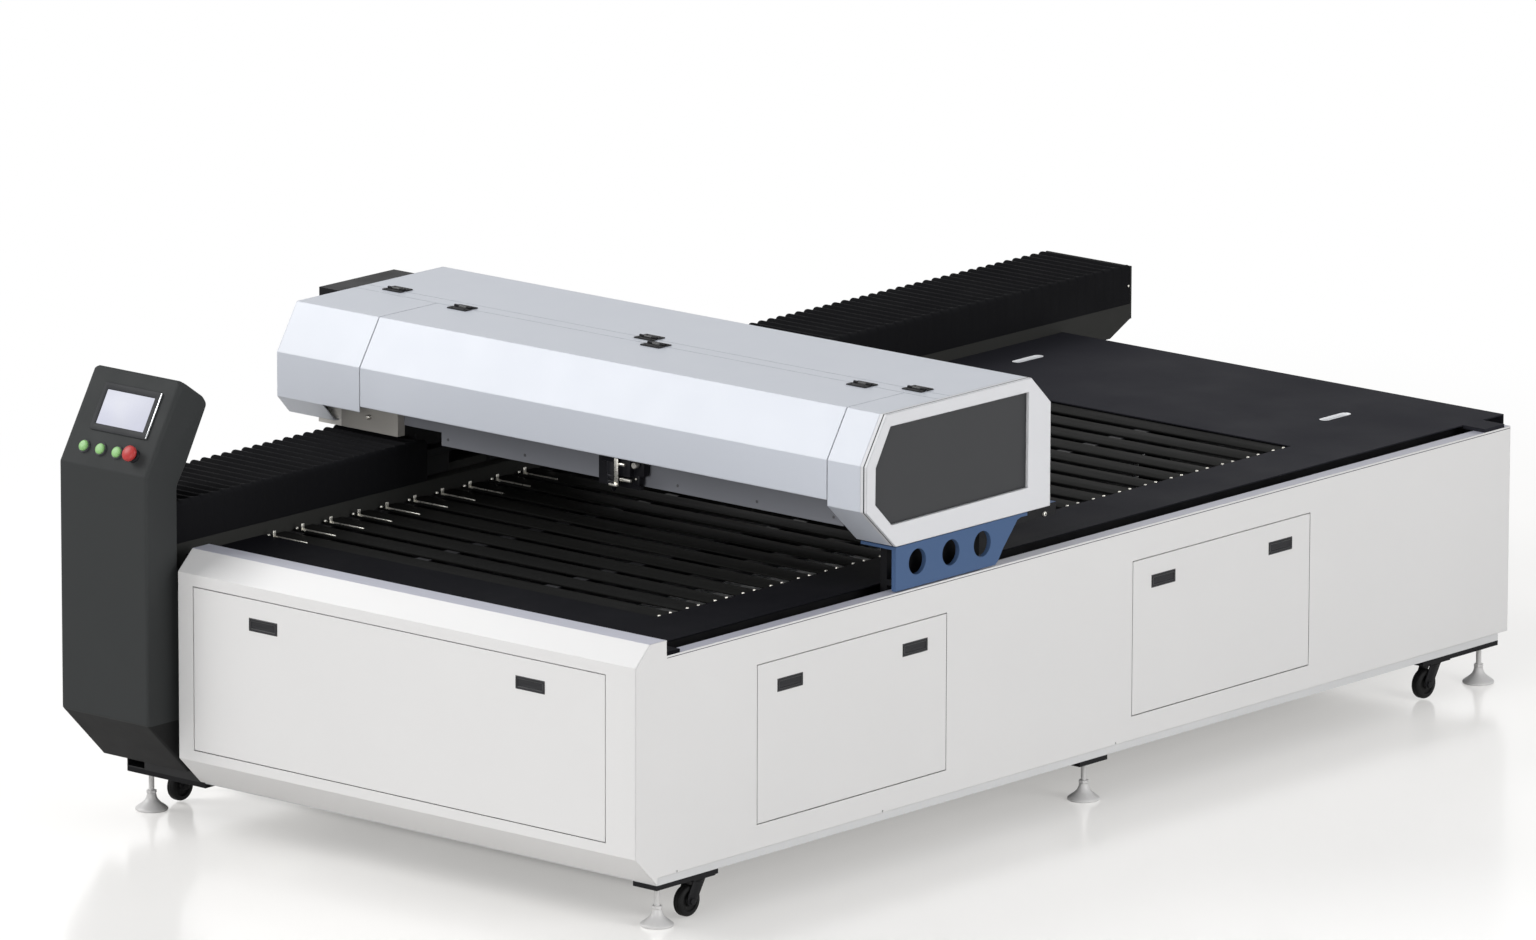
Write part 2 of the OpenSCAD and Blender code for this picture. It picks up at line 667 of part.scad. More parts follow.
// bounds the head across its width, with two round top corners
module head_front() {
    top = head_top[1] + 1;
    block(col_x, [-2 * col_front, 3 * col_front], [0, top - head_r]);
    block([col_x[0] + head_r, col_x[1] - head_r], [-2 * col_front, 3 * col_front], [0, top]);
    for (x = [col_x[0] + head_r, col_x[1] - head_r])
        rod_y(x, [-2 * col_front, 3 * col_front], top - head_r, head_r);
}
bezel_h = 4;
module control_column() color([0.24, 0.245, 0.245]) placed() {
    difference() {
        intersection() {
            along_x(col_x) polygon(col_profile);
            head_front();
        }
        along_x([col_x[0] + sheet_t, col_x[1] - sheet_t]) intersection() {
            polygon(inset(col_profile, sheet_t));
            translate([-2 * col_front, 0]) square([5 * col_front, head_top[1] - head_r]);
        }
        on_head() {
            for (x = knob_x)
                rod_y(x, [-cut, sheet_t + cut], knob_row, button_d / 2 - 2.3);
            rod_y(estop_x, [-cut, sheet_t + cut], knob_row, 9);
        }
    }
    // fixed bezels of the buttons and of the emergency stop
    on_head() {
        for (x = knob_x)
            difference() {
                rod_y(x, [-bezel_h, 0], knob_row, button_d / 2);
                rod_y(x, [-bezel_h - cut, cut], knob_row, button_d / 2 - 2.5 + fit);
            }
        difference() {
            rod_y(estop_x, [-6, 0], knob_row, 15);
            rod_y(estop_x, [-6 - cut, cut], knob_row, 8 + fit);
        }
    }
}

screen_along = 150;                     // middle of the screen, up from the neck
screen_in = 150;                        // and from the column's left side
screen_rim = [15, 19, 17];              // the housing round it: left, right, above and below
screen_d = 5;
pane_y = [-3.4, -2];                    // front and back of the pane
module screen() color([0.75, 0.76, 0.80]) placed() on_head()
    translate([col_x[0] + screen_in, -fit, screen_along]) {
        difference() {
            block([-lcd_w / 2 - screen_rim[0], lcd_w / 2 + screen_rim[1]], [-screen_d, 0],
                [-lcd_h / 2 - screen_rim[2], lcd_h / 2 + screen_rim[2]]);
            block([-lcd_w / 2, lcd_w / 2], [-screen_d - cut, pane_y[1]], [-lcd_h / 2, lcd_h / 2]);
        }
        block([-lcd_w / 2 + gap, lcd_w / 2 - gap], pane_y, [-lcd_h / 2 + gap, lcd_h / 2 - gap]);
    }

module button(x) {
    on_head() {
        rod_y(x, [-bezel_h - 5, 4], knob_row, button_d / 2 - 2.5);
        rod_y(x, [-bezel_h - 6.5, -bezel_h - 5], knob_row, button_d / 2 - 4);
    }
}
module button_1() color([0.45, 0.80, 0.45]) placed() button(knob_x[0]);
module button_2() color([0.45, 0.80, 0.45]) placed() button(knob_x[1]);
module button_3() color([0.45, 0.80, 0.45]) placed() button(knob_x[2]);
module emergency_stop() color([0.80, 0.15, 0.15]) placed() on_head()
    translate([estop_x, 0, knob_row]) rotate([90, 0, 0]) rotate_extrude() polygon([
        [0, -8], [8, -8], [8, 14], [estop_d / 2 - 2, 15], [estop_d / 2, 18], [estop_d / 2, 22],
        [estop_d / 2 - 4, estop_rim], [estop_d / 4, estop_h], [0, estop_h]
    ]);

supply_y = 100;                         // distance of the power supply from the front tube
supply_l = 300;
supply_h = 190;
module power_supply() color([0.70, 0.71, 0.72]) placed() {
    x = [-cab_w + sheet_t + 10, inner_rail_x[1] - 10];
    z = base_z + tube;
    y = cross_y[0] + supply_y;
    block(x, [y, y + supply_l], [z, z + supply_h]);
}

// ---- doors ----

axis_in = 7;                            // depth of a door's hinge axis
axis_up = 6;                            // its height over the door's lower edge
knuckle_r = 4.5;
pin_r = 2.5;
hinge_w = 60;
barrel_w = 30;
front_hinges = [90, front_door_w / 2, front_door_w - 90];
side_hinges = [80, side_door_w - 80];

module latch_at(u, v) {
    translate([u, 0, v]) children();
}
paddle_v = latch_h / 2 - 9.5;           // height of a paddle's axis over the latch's middle
paddle_in = 1;                          // depth of that axis
latch_rim = 5.5;                        // from the latch's edge to its pocket
pocket_w = latch_w - 2 * latch_rim;
pocket_h = latch_h - 2 * latch_rim;
pocket_d = 10;
pocket_t = 2;                           // floor of the pocket
pocket_side = 3;                        // its walls
rim_h = 1.5;                            // how far the rim stands out
paddle_y = [-0.5, 2.5];
paddle_pin = 1.5;
paddle_room = 0.5;
latch_room = 0.2;                       // room round the pocket in the door's sheet
module latch_bezel() {
    difference() {
        union() {
            block([-latch_w / 2, latch_w / 2], [-rim_h, 0], [-latch_h / 2, latch_h / 2]);
            block([-pocket_w / 2 - pocket_side, pocket_w / 2 + pocket_side], [0, pocket_d + pocket_t],
                [-pocket_h / 2 - pocket_side, pocket_h / 2 + pocket_side]);
        }
        block([-pocket_w / 2, pocket_w / 2], [-cut, pocket_d], [-pocket_h / 2, pocket_h / 2]);
        rod_x([-pocket_w / 2 - 2.5, pocket_w / 2 + 2.5], paddle_in, paddle_v, paddle_pin + fit);
    }
}
module latch_paddle() {
    block([-pocket_w / 2 + paddle_room, pocket_w / 2 - paddle_room], paddle_y,
        [-pocket_h / 2 + paddle_room, pocket_h / 2 - paddle_room]);
    rod_x([-pocket_w / 2 - 2, pocket_w / 2 + 2], paddle_in, paddle_v, paddle_pin);
}

module door(w, h, latches, latch_v, hinges) {
    difference() {
        union() {
            block([0, w], [0, sheet_t], [0, h]);
            for (u = [0, w - sheet_t])
                block([u, u + sheet_t], [0, door_d], [axis_up + knuckle_r, h]);
            block([0, w], [0, door_d], [h - sheet_t, h]);
            for (u = hinges) {
                rod_x([u - barrel_w / 2, u + barrel_w / 2], axis_in, axis_up, knuckle_r);
                block([u - barrel_w / 2, u + barrel_w / 2], [sheet_t, axis_in], [2, axis_up + knuckle_r]);
            }
        }
        for (u = hinges)
            rod_x([u - barrel_w / 2 - cut, u + barrel_w / 2 + cut], axis_in, axis_up, pin_r + fit);
        for (u = latches)
            latch_at(u, latch_v)
                block([-pocket_w / 2 - pocket_side - latch_room, pocket_w / 2 + pocket_side + latch_room],
                    [-cut, sheet_t + cut],
                    [-pocket_h / 2 - pocket_side - latch_room, pocket_h / 2 + pocket_side + latch_room]);
    }
    for (u = latches)
        latch_at(u, latch_v) latch_bezel();
}
front_latches = [226, front_door_w - 233];
side_latches = [116, side_door_w - 115];
module front_door() color(white) placed() on_front()
    door(front_door_w, front_door_h, front_latches, front_latch_v, front_hinges);
module side_door_front() color(white) placed() on_side(side_door_y[0], side_door_z)
    door(side_door_w, side_door_h, side_latches, side_latch_v, side_hinges);
module side_door_rear() color(white) placed() on_side(side_door_y[1], side_door_z)
    door(side_door_w, side_door_h, side_latches, side_latch_v, side_hinges);

module front_paddle(u) {
    color(black) placed() on_front() latch_at(u, front_latch_v) latch_paddle();
}
module side_paddle(y, u) {
    color(black) placed() on_side(y, side_door_z) latch_at(u, side_latch_v) latch_paddle();
}
module front_paddle_left() front_paddle(front_latches[0]);
module front_paddle_right() front_paddle(front_latches[1]);
module side_paddle_1() side_paddle(side_door_y[0], side_latches[0]);
module side_paddle_2() side_paddle(side_door_y[0], side_latches[1]);
module side_paddle_3() side_paddle(side_door_y[1], side_latches[0]);
module side_paddle_4() side_paddle(side_door_y[1], side_latches[1]);

// fixed half of a door hinge: two knuckles, the pin and an arm that stands on the frame;
// depth and drop lead to the frame's tube
module hinge_bracket(u, depth, drop) {
    knuckle = (hinge_w - barrel_w) / 2 - 0.5;
    for (a = [u - hinge_w / 2, u + hinge_w / 2 - knuckle]) {
        rod_x([a, a + knuckle], axis_in, axis_up, knuckle_r);
        block([a, a + knuckle], [axis_in, depth], [axis_up - 1.5, axis_up + 1.5]);
    }
    rod_x([u - hinge_w / 2, u + hinge_w / 2], axis_in, axis_up, pin_r);
    block([u - hinge_w / 2, u + hinge_w / 2], [axis_in + 9, depth], [axis_up - 1.5, axis_up + 1.5]);
    block([u - hinge_w / 2, u + hinge_w / 2], [depth - 3, depth], [axis_up - drop, axis_up + 1.5]);
}
module door_hinges() color([0.55, 0.56, 0.58]) placed() {
    tube_top = base_z + tube;
    on_front() for (u = front_hinges)
        hinge_bracket(u, cover_d + 20, front_door_z + axis_up - tube_top);
    for (y = side_door_y)
        on_side(y, side_door_z) for (u = side_hinges)
            hinge_bracket(u, sheet_t + 30, side_door_z + axis_up - tube_top);
}

// ---- gantry ----

// the cover's front line, from the spine down to the face's lower edge
front_line = [
    [front_hinge_y - seam / 2, g_top], g_outline[4], g_outline[5], g_outline[6]
];
// the front lid ends a little higher than the end caps beside it
lid_line = [front_line[0], front_line[1], front_line[2], [g_y, g_low + 113]];
rear_line = [
    [g_y + g_d - 12, over_bellows], [g_y + g_d, over_bellows], g_outline[2], g_outline[3],
    [rear_hinge_y + seam / 2, g_top]
];

beam_wall = 6;
face_z = [bm_z[0] - 25, bm_z[0] + 70];
head_rail_x = [bx[0] + 330, bx[1] - 140];
head_rail_d = 15;                       // how far the head's rail stands out
head_rail_h = 16;
module gantry_beam() color([0.33, 0.33, 0.34]) placed() {
    tube_x(bx, bm_y, bm_z, beam_wall);
    block(face_x, [bm_y[0] - face_t, bm_y[0]], face_z);
    // shelf for the laser tube
    block([bx[0], bx[1]], [bm_y[1], shelf_y], [bm_z[0], bm_z[0] + shelf_t]);
    // rail of the head carriage
    block(head_rail_x, [bm_y[0] - head_rail_d, bm_y[0]],
        [head_rail_z - head_rail_h / 2, head_rail_z + head_rail_h / 2]);
}

left_flange = [[g_y + 43, g_low + 53], [bm_y[0] - face_t - 2, g_low + 53]];
left_low = concat(front_line, left_flange);
right_low = concat(front_line, [g_outline[0], [g_outline[0][0] + 25, g_low]]);
module end_caps() color(white) placed() {
    along_x([g_x[0] + g_t, cap_x[0] - seam / 2]) polygon(fold(front_line, g_t));
    along_x([g_x[0] + g_t, stand_x[0] - 4]) polygon(fold(left_low, g_t));
    along_x([cap_x[1] + seam / 2, bx[1]]) polygon(fold(right_low, g_t));
    // closed left end, open only where the laser tube's tail passes
    difference() {
        along_x([g_x[0], g_x[0] + g_t]) polygon(concat(
            [[g_y + 43, g_low + 53], [g_y + g_d, g_low + 53]],
            [for (i = [2:6]) g_outline[i]]));
        rod_x([g_x[0] - cut, g_x[0] + g_t + cut], tube_y0, tube_z0, laser_d / 2 + 12);
    }
}

rib_to_mount = 205;                     // from the middle rib to the tube mount beside it
rib_x = [cap_x[0] - 12, mount_x[1] - rib_to_mount, cap_x[1] + 8];
rib_t = 4;
module cover_spine() color(white) placed() {
    block([bx[0], bx[1]], [front_hinge_y + seam / 2, rear_hinge_y - seam / 2], [g_top - g_t, g_top]);
    for (x = rib_x)
        difference() {
            along_x([x, x + rib_t]) polygon([
                [bm_y[0] + 40, bm_z[1]], [bm_y[1], bm_z[1]], [bm_y[1], bm_z[0] + shelf_t],
                [shelf_y, bm_z[0] + shelf_t], [shelf_y, g_top - 60], [shelf_y - 25, g_top - g_t - 5],
                [rear_hinge_y - seam, g_top - g_t - 5], [rear_hinge_y - seam, g_top - g_t],
                [front_hinge_y + seam, g_top - g_t], [front_hinge_y + seam, g_top - g_t - 5],
                [bm_y[0] + 40, g_top - g_t - 5]
            ]);
            rod_x([x - cut, x + rib_t + cut], tube_y0, tube_z0, laser_d / 2 + 8);
        }
}

rim = [25, 45, 78];                     // width of the end panel's frame: top and rear, front, bottom
end_inset = [
    [g_y + 91, g_low + rim[2] - 23], [g_y + g_d - 83, g_low + rim[2] - 20],
    [g_y + g_d - 82, g_top - 33], [g_y + 85, g_top - 30], [g_y + 32, g_top - 122],
    [g_y + 31, g_top - 211]
];
module right_end_panel() color(white) placed() {
    difference() {
        along_x([bx[1], g_x[1]]) polygon(g_outline);
        along_x([bx[1] + g_t, g_x[1] + cut]) polygon(end_inset);
        // hollow behind the frame, which is a folded sheet
        along_x([bx[1] - cut, g_x[1] - g_t - 6]) polygon(inset(g_outline, 30));
    }
    // dark inset
    along_x([g_x[1] - g_t - 6 - 3, g_x[1] - g_t - 6]) polygon(inset(end_inset, gap));
}

bracket_x = [-14, -2];
bracket_z = [cab_top + 3, g_low - 4];
bracket_front = g_y + 114;
bracket_rear = g_y + 600;
bracket_flange = 8;
hole_y = [g_y + 194, g_y + 317, g_y + 433];
hole_z = g_low - 52;
carriage_h = 34;
block_l = 90;                           // length and half the width of a rail's sliding block
block_half = 22;
bolt_r = 6;
module right_bracket() color([0.35, 0.45, 0.61]) placed() {
    difference() {
        union() {
            along_x(bracket_x) polygon([
                [bracket_front, bracket_z[0]], [g_y + 482, bracket_z[0]], [g_y + 492, bracket_z[0] + 8],
                [g_y + 511, bracket_z[0] + 36], [g_y + 541, bracket_z[0] + 70],
                [g_y + 563, bracket_z[0] + 96], [bracket_rear, bracket_z[1]],
                [bracket_front, bracket_z[1]]
            ]);
            block([-110, bracket_x[1]], [bracket_front, bracket_rear],
                [bracket_z[1] - bracket_flange, bracket_z[1]]);
        }
        for (y = hole_y)
            rod_x([bracket_x[0] - cut, bracket_x[1] + cut], y, hole_z, hole_d / 2);
    }
    // arm that reaches back under the end panel, with its bolt
    block([-75, -45], [g_y + 570, g_y + 759], [bracket_z[1] - 38, bracket_z[1] - bracket_flange]);
    rod_x([-45, -41], g_y + 715, bracket_z[1] - 31, bolt_r);
    // riser from the bracket to the beam
    block([-100, -32], [bm_y[0] + 60, bm_y[1]], [bracket_z[1], bm_z[0]]);
    // carriage plate in the groove, its web to the bracket and its two blocks
    block([track_x - 10, track_x + 10], [g_y + 131, g_y + 471],
        [rail_z + carriage_h, bracket_z[1] - bracket_flange]);
    block([track_x + 10, bracket_x[0]], [g_y + 131, g_y + 471], [cab_top + 10, cab_top + 24]);
    for (y = [g_y + 136, g_y + 376])
        difference() {
            block([track_x - block_half, track_x + block_half], [y, y + block_l],
                [rail_z + 4, rail_z + carriage_h]);
            block([track_x - track_w / 2 - gap, track_x + track_w / 2 + gap],
                [y - cut, y + block_l + cut],
                [rail_z, rail_z + track_h + gap]);
        }
}

lift_z = beam_z1 + 58;                  // underside of the left carriage plate
module left_bracket() color([0.45, 0.43, 0.41]) placed() {
    // blocks on the rails, and their spacers
    for (x = left_tracks, y = [carriage_y[0] + 10, carriage_y[1] - 10 - block_l])
        difference() {
            block([x - block_half, x + block_half], [y, y + block_l], [beam_z1 + 4, lift_z]);
            block([x - track_w / 2 - gap, x + track_w / 2 + gap], [y - cut, y + block_l + cut],
                [beam_z1, beam_z1 + track_h + gap]);
        }
    block([beam_x[0] + 8, beam_x[1] - 8], carriage_y, [lift_z, lift_z + 16]);
    // nut on the drive screw
    difference() {
        block([screw_x - 30, screw_x + 30], [carriage_y[0] + 140, carriage_y[0] + 200],
            [screw_z - 22, lift_z]);
        rod_y(screw_x, [carriage_y[0], carriage_y[1]], screw_z, screw_d / 2 + fit);
    }
    // stand that carries the beam; it reaches forward over the front bellows
    block(stand_x, [carriage_y[0], bm_y[1]], [lift_z + 16, over_bellows]);
    block(stand_x, bm_y, [over_bellows, bm_z[0]]);
    // plate on the stand's front with its bolt, and a lighter one that runs on to the left
    block(stand_x, [bm_y[0] - face_t, bm_y[0]], [over_bellows, bm_z[0] + 42]);
    block([stand_x[0] - 76, stand_x[0]], [bm_y[0] - face_t, bm_y[0]], [over_bellows, bm_z[0] + 22]);
    rod_y((stand_x[0] + stand_x[1]) / 2, [bm_y[0] - face_t - 4, bm_y[0] - face_t], bm_z[0] + 10, bolt_r);
}

tube_end = 60;                          // length of each narrow end of the tube
module laser_tube() color([0.80, 0.86, 0.88]) placed() {
    rod_x([tube_x[0] + tube_end, tube_x[1] - tube_end], tube_y0, tube_z0, laser_d / 2);
    rod_x([tube_x[0], tube_x[0] + tube_end], tube_y0, tube_z0, laser_d / 3);
    rod_x([tube_x[1] - tube_end, tube_x[1]], tube_y0, tube_z0, laser_d / 3);
}

mount_half = 20;                        // half a tube mount's width, and half a mirror's
mount_side = 14;                        // wall of a mount beside the tube
mount_over = 8;                         // and over it
mirror_top = 25;                        // the first mirror ends this far over the tube's middle
mirror_d = 50;                          // depth and height of the second mirror
mirror_h = 60;
module tube_mounts() color([0.20, 0.20, 0.22]) placed() {
    base = bm_z[0] + shelf_t;
    for (x = mount_x)
        difference() {
            block([x - mount_half, x + mount_half],
                [tube_y0 - laser_d / 2 - mount_side, tube_y0 + laser_d / 2 + mount_side],
                [base, tube_z0 + laser_d / 2 + mount_over]);
            rod_x([x - mount_half - cut, x + mount_half + cut], tube_y0, tube_z0, laser_d / 2 + gap);
        }
    // first mirror behind the beam, second one in front of it, over the face plate's end
    block([mirror_x - mount_half, mirror_x + mount_half],
        [tube_y0 - mount_half, tube_y0 + mount_half], [base, tube_z0 + mirror_top]);
    block([mirror_x - mount_half, mirror_x + mount_half], [bm_y[0], bm_y[0] + mirror_d],
        [bm_z[1], bm_z[1] + mirror_h]);
}

module tail_cover() color(black) placed() difference() {
    block([g_x[0] - tail_l, g_x[0]], [g_y + 244, g_y + 516], [g_top - 215, g_top - 5]);
    block([g_x[0] - tail_l + g_t, g_x[0] + cut], [g_y + 244 + g_t, g_y + 516 - g_t],
        [g_top - 215 + g_t, g_top - 5 - g_t]);
}

// hinges on the gantry's top: leaves lie on the sheet, the pin stands lid_axis_h over it
lid_knuckle = 3.4;
lid_pin = 1.8;
leaf_t = 2;
leaf_l = 17;
hinge_off = 12;                         // the middle hinges stand this far left of the middle
front_hinge_x = let (a = g_x[0] + 359, b = g_x[1] - 253) [a, (a + b) / 2 - hinge_off, b];
rear_hinge_x = let (a = g_x[0] + 98, b = g_x[1] - 123) [a, (a + b) / 2 - hinge_off, b];
lid_barrel = 24;
lid_side = 15;
// the moving half, on the side that dir points to
module lid_leaf(x, y, dir) {
    z = g_top + lid_axis_h;
    difference() {
        union() {
            rod_x([x - lid_barrel / 2, x + lid_barrel / 2], y, z, lid_knuckle);
            translate([x, y, g_top]) mirror([0, dir < 0 ? 1 : 0, 0])
                block([-lid_barrel / 2, lid_barrel / 2], [0, leaf_l], [0.01, leaf_t]);
        }
        rod_x([x - lid_barrel, x + lid_barrel], y, z, lid_pin + fit);
    }
}
module fixed_leaf(x, y, dir) {
    z = g_top + lid_axis_h;
    for (s = [-lid_barrel / 2 - gap - lid_side, lid_barrel / 2 + gap]) {
        rod_x([x + s, x + s + lid_side], y, z, lid_knuckle);
        translate([x, y, g_top]) mirror([0, dir < 0 ? 1 : 0, 0])
            block([s, s + lid_side], [0, leaf_l], [0.01, leaf_t]);
    }
    rod_x([x - lid_barrel / 2 - lid_side, x + lid_barrel / 2 + lid_side], y, z, lid_pin);
}
module lid_hinges() color(black) placed() {
    for (x = front_hinge_x)
        fixed_leaf(x, front_hinge_y, 1);
    for (x = rear_hinge_x)
        fixed_leaf(x, rear_hinge_y, -1);
}
module front_lid() color(white) placed() {
    along_x([cap_x[0] + seam / 2, cap_x[1] - seam / 2]) polygon(fold(lid_line, g_t));
    for (x = front_hinge_x)
        lid_leaf(x, front_hinge_y, -1);
}
module rear_lid() color(white) placed() {
    along_x([g_x[0] + g_t + gap, bx[1] - gap]) polygon(fold(rear_line, g_t));
    for (x = rear_hinge_x)
        lid_leaf(x, rear_hinge_y, 1);
}

// ---- cutting head and its drive ----

plate_y = [bm_y[0] - face_t - 14, bm_y[0] - face_t - 4];
slide_w = 45;                           // half the width and height of the block on the head's rail
slide_h = 17;
clamp_w = 20;                           // half the width of the belt clamp
belt_t = 1.2;
module head_carriage() color([0.10, 0.10, 0.11]) placed() {
    block([head_x - head_w / 2, head_x + head_w / 2], plate_y, [bm_z[0] - 33, pulley_z - 18]);
    // block on the head's rail
    difference() {
        block([head_x - slide_w, head_x + slide_w], [plate_y[1], bm_y[0] - 4],
            [head_rail_z - slide_h, head_rail_z + slide_h]);
        block([head_x - slide_w - cut, head_x + slide_w + cut], [bm_y[0] - head_rail_d - gap, bm_y[0]],
            [head_rail_z - head_rail_h / 2 - gap, head_rail_z + head_rail_h / 2 + gap]);
    }
    // clamp round the belt's lower run
    difference() {
        block([head_x - clamp_w, head_x + clamp_w], [pulley_y[0] - 4, plate_y[0]],
            [pulley_z - pulley_r - 9, pulley_z - pulley_r + 5]);
        block([head_x - clamp_w - cut, head_x + clamp_w + cut], [pulley_y[0] - gap, pulley_y[1] + gap],
            [pulley_z - pulley_r - belt_t - gap, pulley_z - pulley_r + gap]);
    }
}

sleeve_r = 17;
focus_r = 12;
module laser_head() color([0.70, 0.70, 0.72]) placed() {
    difference() {
        union() {
            // mirror box and the sleeve under it
            block([head_x - 25, head_x + 25], [optic_y - 18, plate_y[0]], [bm_z[0] + 35, bm_z[0] + 90]);
            rod_z(head_x, optic_y, [bm_z[0] - 8, bm_z[0] + 35], sleeve_r);
        }
        rod_z(head_x, optic_y, [bm_z[0] - 8 - cut, bm_z[0] + 60], focus_r + fit);
        rod_x([head_x, head_x + 30], optic_y, bm_z[0] + 72, 8);
    }
}
module focus_tube() color([0.78, 0.78, 0.80]) placed()
    translate([head_x, optic_y, 0]) {
        rod_z(0, 0, [bm_z[0] - 20, bm_z[0] + 36], focus_r);
        rod_z(0, 0, [bm_z[0] - 20, bm_z[0] - 12], focus_r + 4);
        translate([0, 0, bm_z[0] - 40]) cylinder(h = 20, r1 = 4, r2 = focus_r);
    }

module belt() {
    x0 = pulley_x[0];
    x1 = pulley_x[1];
    r = pulley_r + 0.05;
    module loop(r, y) {
        for (x = [x0, x1])
            rod_y(x, y, pulley_z, r);
        block([x0, x1], y, [pulley_z - r, pulley_z + r]);
    }
    difference() {
        loop(r + belt_t, pulley_y);
        loop(r, [pulley_y[0] - cut, pulley_y[1] + cut]);
    }
}
axle_r = 4;
module head_drive() color([0.16, 0.16, 0.17]) placed() {
    belt();
    // motor on the beam and its shaft; the idler's post and its axle
    block([pulley_x[0] - 28, pulley_x[0] + 28], [bm_y[0] + 5, bm_y[0] + 85], [bm_z[1], bm_z[1] + 64]);
    rod_y(pulley_x[0], [pulley_y[0] - 2, bm_y[0] + 5], pulley_z, axle_r);
    block([pulley_x[1] - 15, pulley_x[1] + 15], [bm_y[0] + 5, bm_y[0] + 35], [bm_z[1], pulley_z + 12]);
    rod_y(pulley_x[1], [pulley_y[0] - 2, bm_y[0] + 5], pulley_z, axle_r);
}
module pulley(x) {
    difference() {
        rod_y(x, pulley_y, pulley_z, pulley_r);
        rod_y(x, [pulley_y[0] - cut, pulley_y[1] + cut], pulley_z, axle_r + fit);
    }
}
module drive_pulley() color(steel) placed() pulley(pulley_x[0]);
module idler_pulley() color(steel) placed() pulley(pulley_x[1]);

base_frame();
front_cover();
right_side_panel();
left_side_panel();
rear_panel();
table_sheets();
rear_table_plate();
slats();
scrap_trays();
rail_beam();
linear_rails();
bellows_front();
bellows_rear();
corner_plates();
levelling_feet();
control_column();
screen();
power_supply();
door_hinges();
gantry_drive();
drive_screw();
front_door();
side_door_front();
side_door_rear();
front_paddle_left();
front_paddle_right();
side_paddle_1();
side_paddle_2();
side_paddle_3();
side_paddle_4();
button_1();
button_2();
button_3();
emergency_stop();
fork_front_right();
fork_front_left();
fork_rear_right();
fork_rear_left();
wheel_front_right();
wheel_front_left();
wheel_rear_right();
wheel_rear_left();
gantry_beam();
end_caps();
cover_spine();
right_end_panel();
right_bracket();
left_bracket();
laser_tube();
tube_mounts();
tail_cover();
front_lid();
rear_lid();
lid_hinges();
head_carriage();
laser_head();
focus_tube();
head_drive();
drive_pulley();
idler_pulley();
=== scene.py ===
import math
import bmesh
import bpy
import numpy as np
from mathutils import Matrix, Vector


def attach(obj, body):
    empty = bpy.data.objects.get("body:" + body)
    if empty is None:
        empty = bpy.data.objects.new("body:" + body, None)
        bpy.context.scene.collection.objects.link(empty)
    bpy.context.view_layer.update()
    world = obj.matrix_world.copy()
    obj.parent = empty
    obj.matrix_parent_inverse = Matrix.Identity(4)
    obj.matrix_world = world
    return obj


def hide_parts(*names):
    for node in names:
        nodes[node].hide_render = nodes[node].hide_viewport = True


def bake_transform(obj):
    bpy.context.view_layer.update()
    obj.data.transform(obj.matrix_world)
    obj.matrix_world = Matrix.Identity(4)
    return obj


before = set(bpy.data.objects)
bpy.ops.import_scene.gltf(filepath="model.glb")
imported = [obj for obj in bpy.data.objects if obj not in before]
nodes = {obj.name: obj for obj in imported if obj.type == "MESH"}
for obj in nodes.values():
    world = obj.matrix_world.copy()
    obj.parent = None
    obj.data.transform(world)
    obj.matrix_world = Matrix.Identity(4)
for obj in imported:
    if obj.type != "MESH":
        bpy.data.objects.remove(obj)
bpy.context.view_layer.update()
mm = 0.001
print("stage: frame loaded,", len(nodes), "nodes")


view = dict(
    azimuth=40.81, elevation=13.077, roll=0.171,   # degrees
    aim=(1.0524, -1.3903, 1.0592),                 # point in the middle of the picture
    distance=29.81, lens=301.3, sensor=36.0)


def viewAxes():
    # right, up and backward directions of the camera
    a, e, r = (math.radians(view[k]) for k in ("azimuth", "elevation", "roll"))
    back = Vector((math.sin(a) * math.cos(e), -math.cos(a) * math.cos(e), math.sin(e)))
    level = Vector((math.cos(a), math.sin(a), 0))
    rise = back.cross(level)
    right = level * math.cos(r) + rise * math.sin(r)
    return right, back.cross(right), back


def addCamera():
    # stands behind the aimed point by the distance, along the backward direction
    right, up, back = viewAxes()
    data = bpy.data.cameras.new("camera")
    data.lens = view["lens"]
    data.sensor_width = view["sensor"]
    data.clip_start, data.clip_end = 1.0, 200.0
    camera = bpy.data.objects.new("camera", data)
    bpy.context.scene.collection.objects.link(camera)
    place = Vector(view["aim"]) + back * view["distance"]
    turn = Matrix((right, up, back)).transposed().to_4x4()
    camera.matrix_world = Matrix.Translation(place) @ turn
    bpy.context.scene.camera = camera


lamps = dict(
    key=dict(place=(-8.6, -6.4, 7.8), size=6.0, power=930, aim=(0, -0.3, 0.7)),
    side=dict(place=(9.5, 0.6, 3.0), size=5.0, power=450, aim=(0, 0, 0.5)),
    front=dict(place=(2.5, -10.0, 2.2), size=5.0, power=350, aim=(0, 0, 0.5)))


def addLamp(name, place, size, power, aim):
    # a square lamp that faces its aim
    data = bpy.data.lights.new(name, "AREA")
    data.shape = "SQUARE"
    data.size = size
    data.energy = power
    lamp = bpy.data.objects.new(name, data)
    bpy.context.scene.collection.objects.link(lamp)
    lamp.location = place
    lamp.rotation_euler = (Vector(aim) - Vector(place)).to_track_quat("-Z", "Y").to_euler()


def setInputs(tree, node, inputs):
    # each input takes a value or another node's output
    for key, value in inputs.items():
        if isinstance(value, bpy.types.NodeSocket):
            tree.links.new(value, node.inputs[key])
        else:
            node.inputs[key].default_value = value


def shaderNode(tree, kind, inputs=(), **settings):
    # a new node with its settings and inputs
    node = tree.nodes.new("ShaderNode" + kind)
    for key, value in settings.items():
        setattr(node, key, value)
    setInputs(tree, node, dict(inputs))
    return node


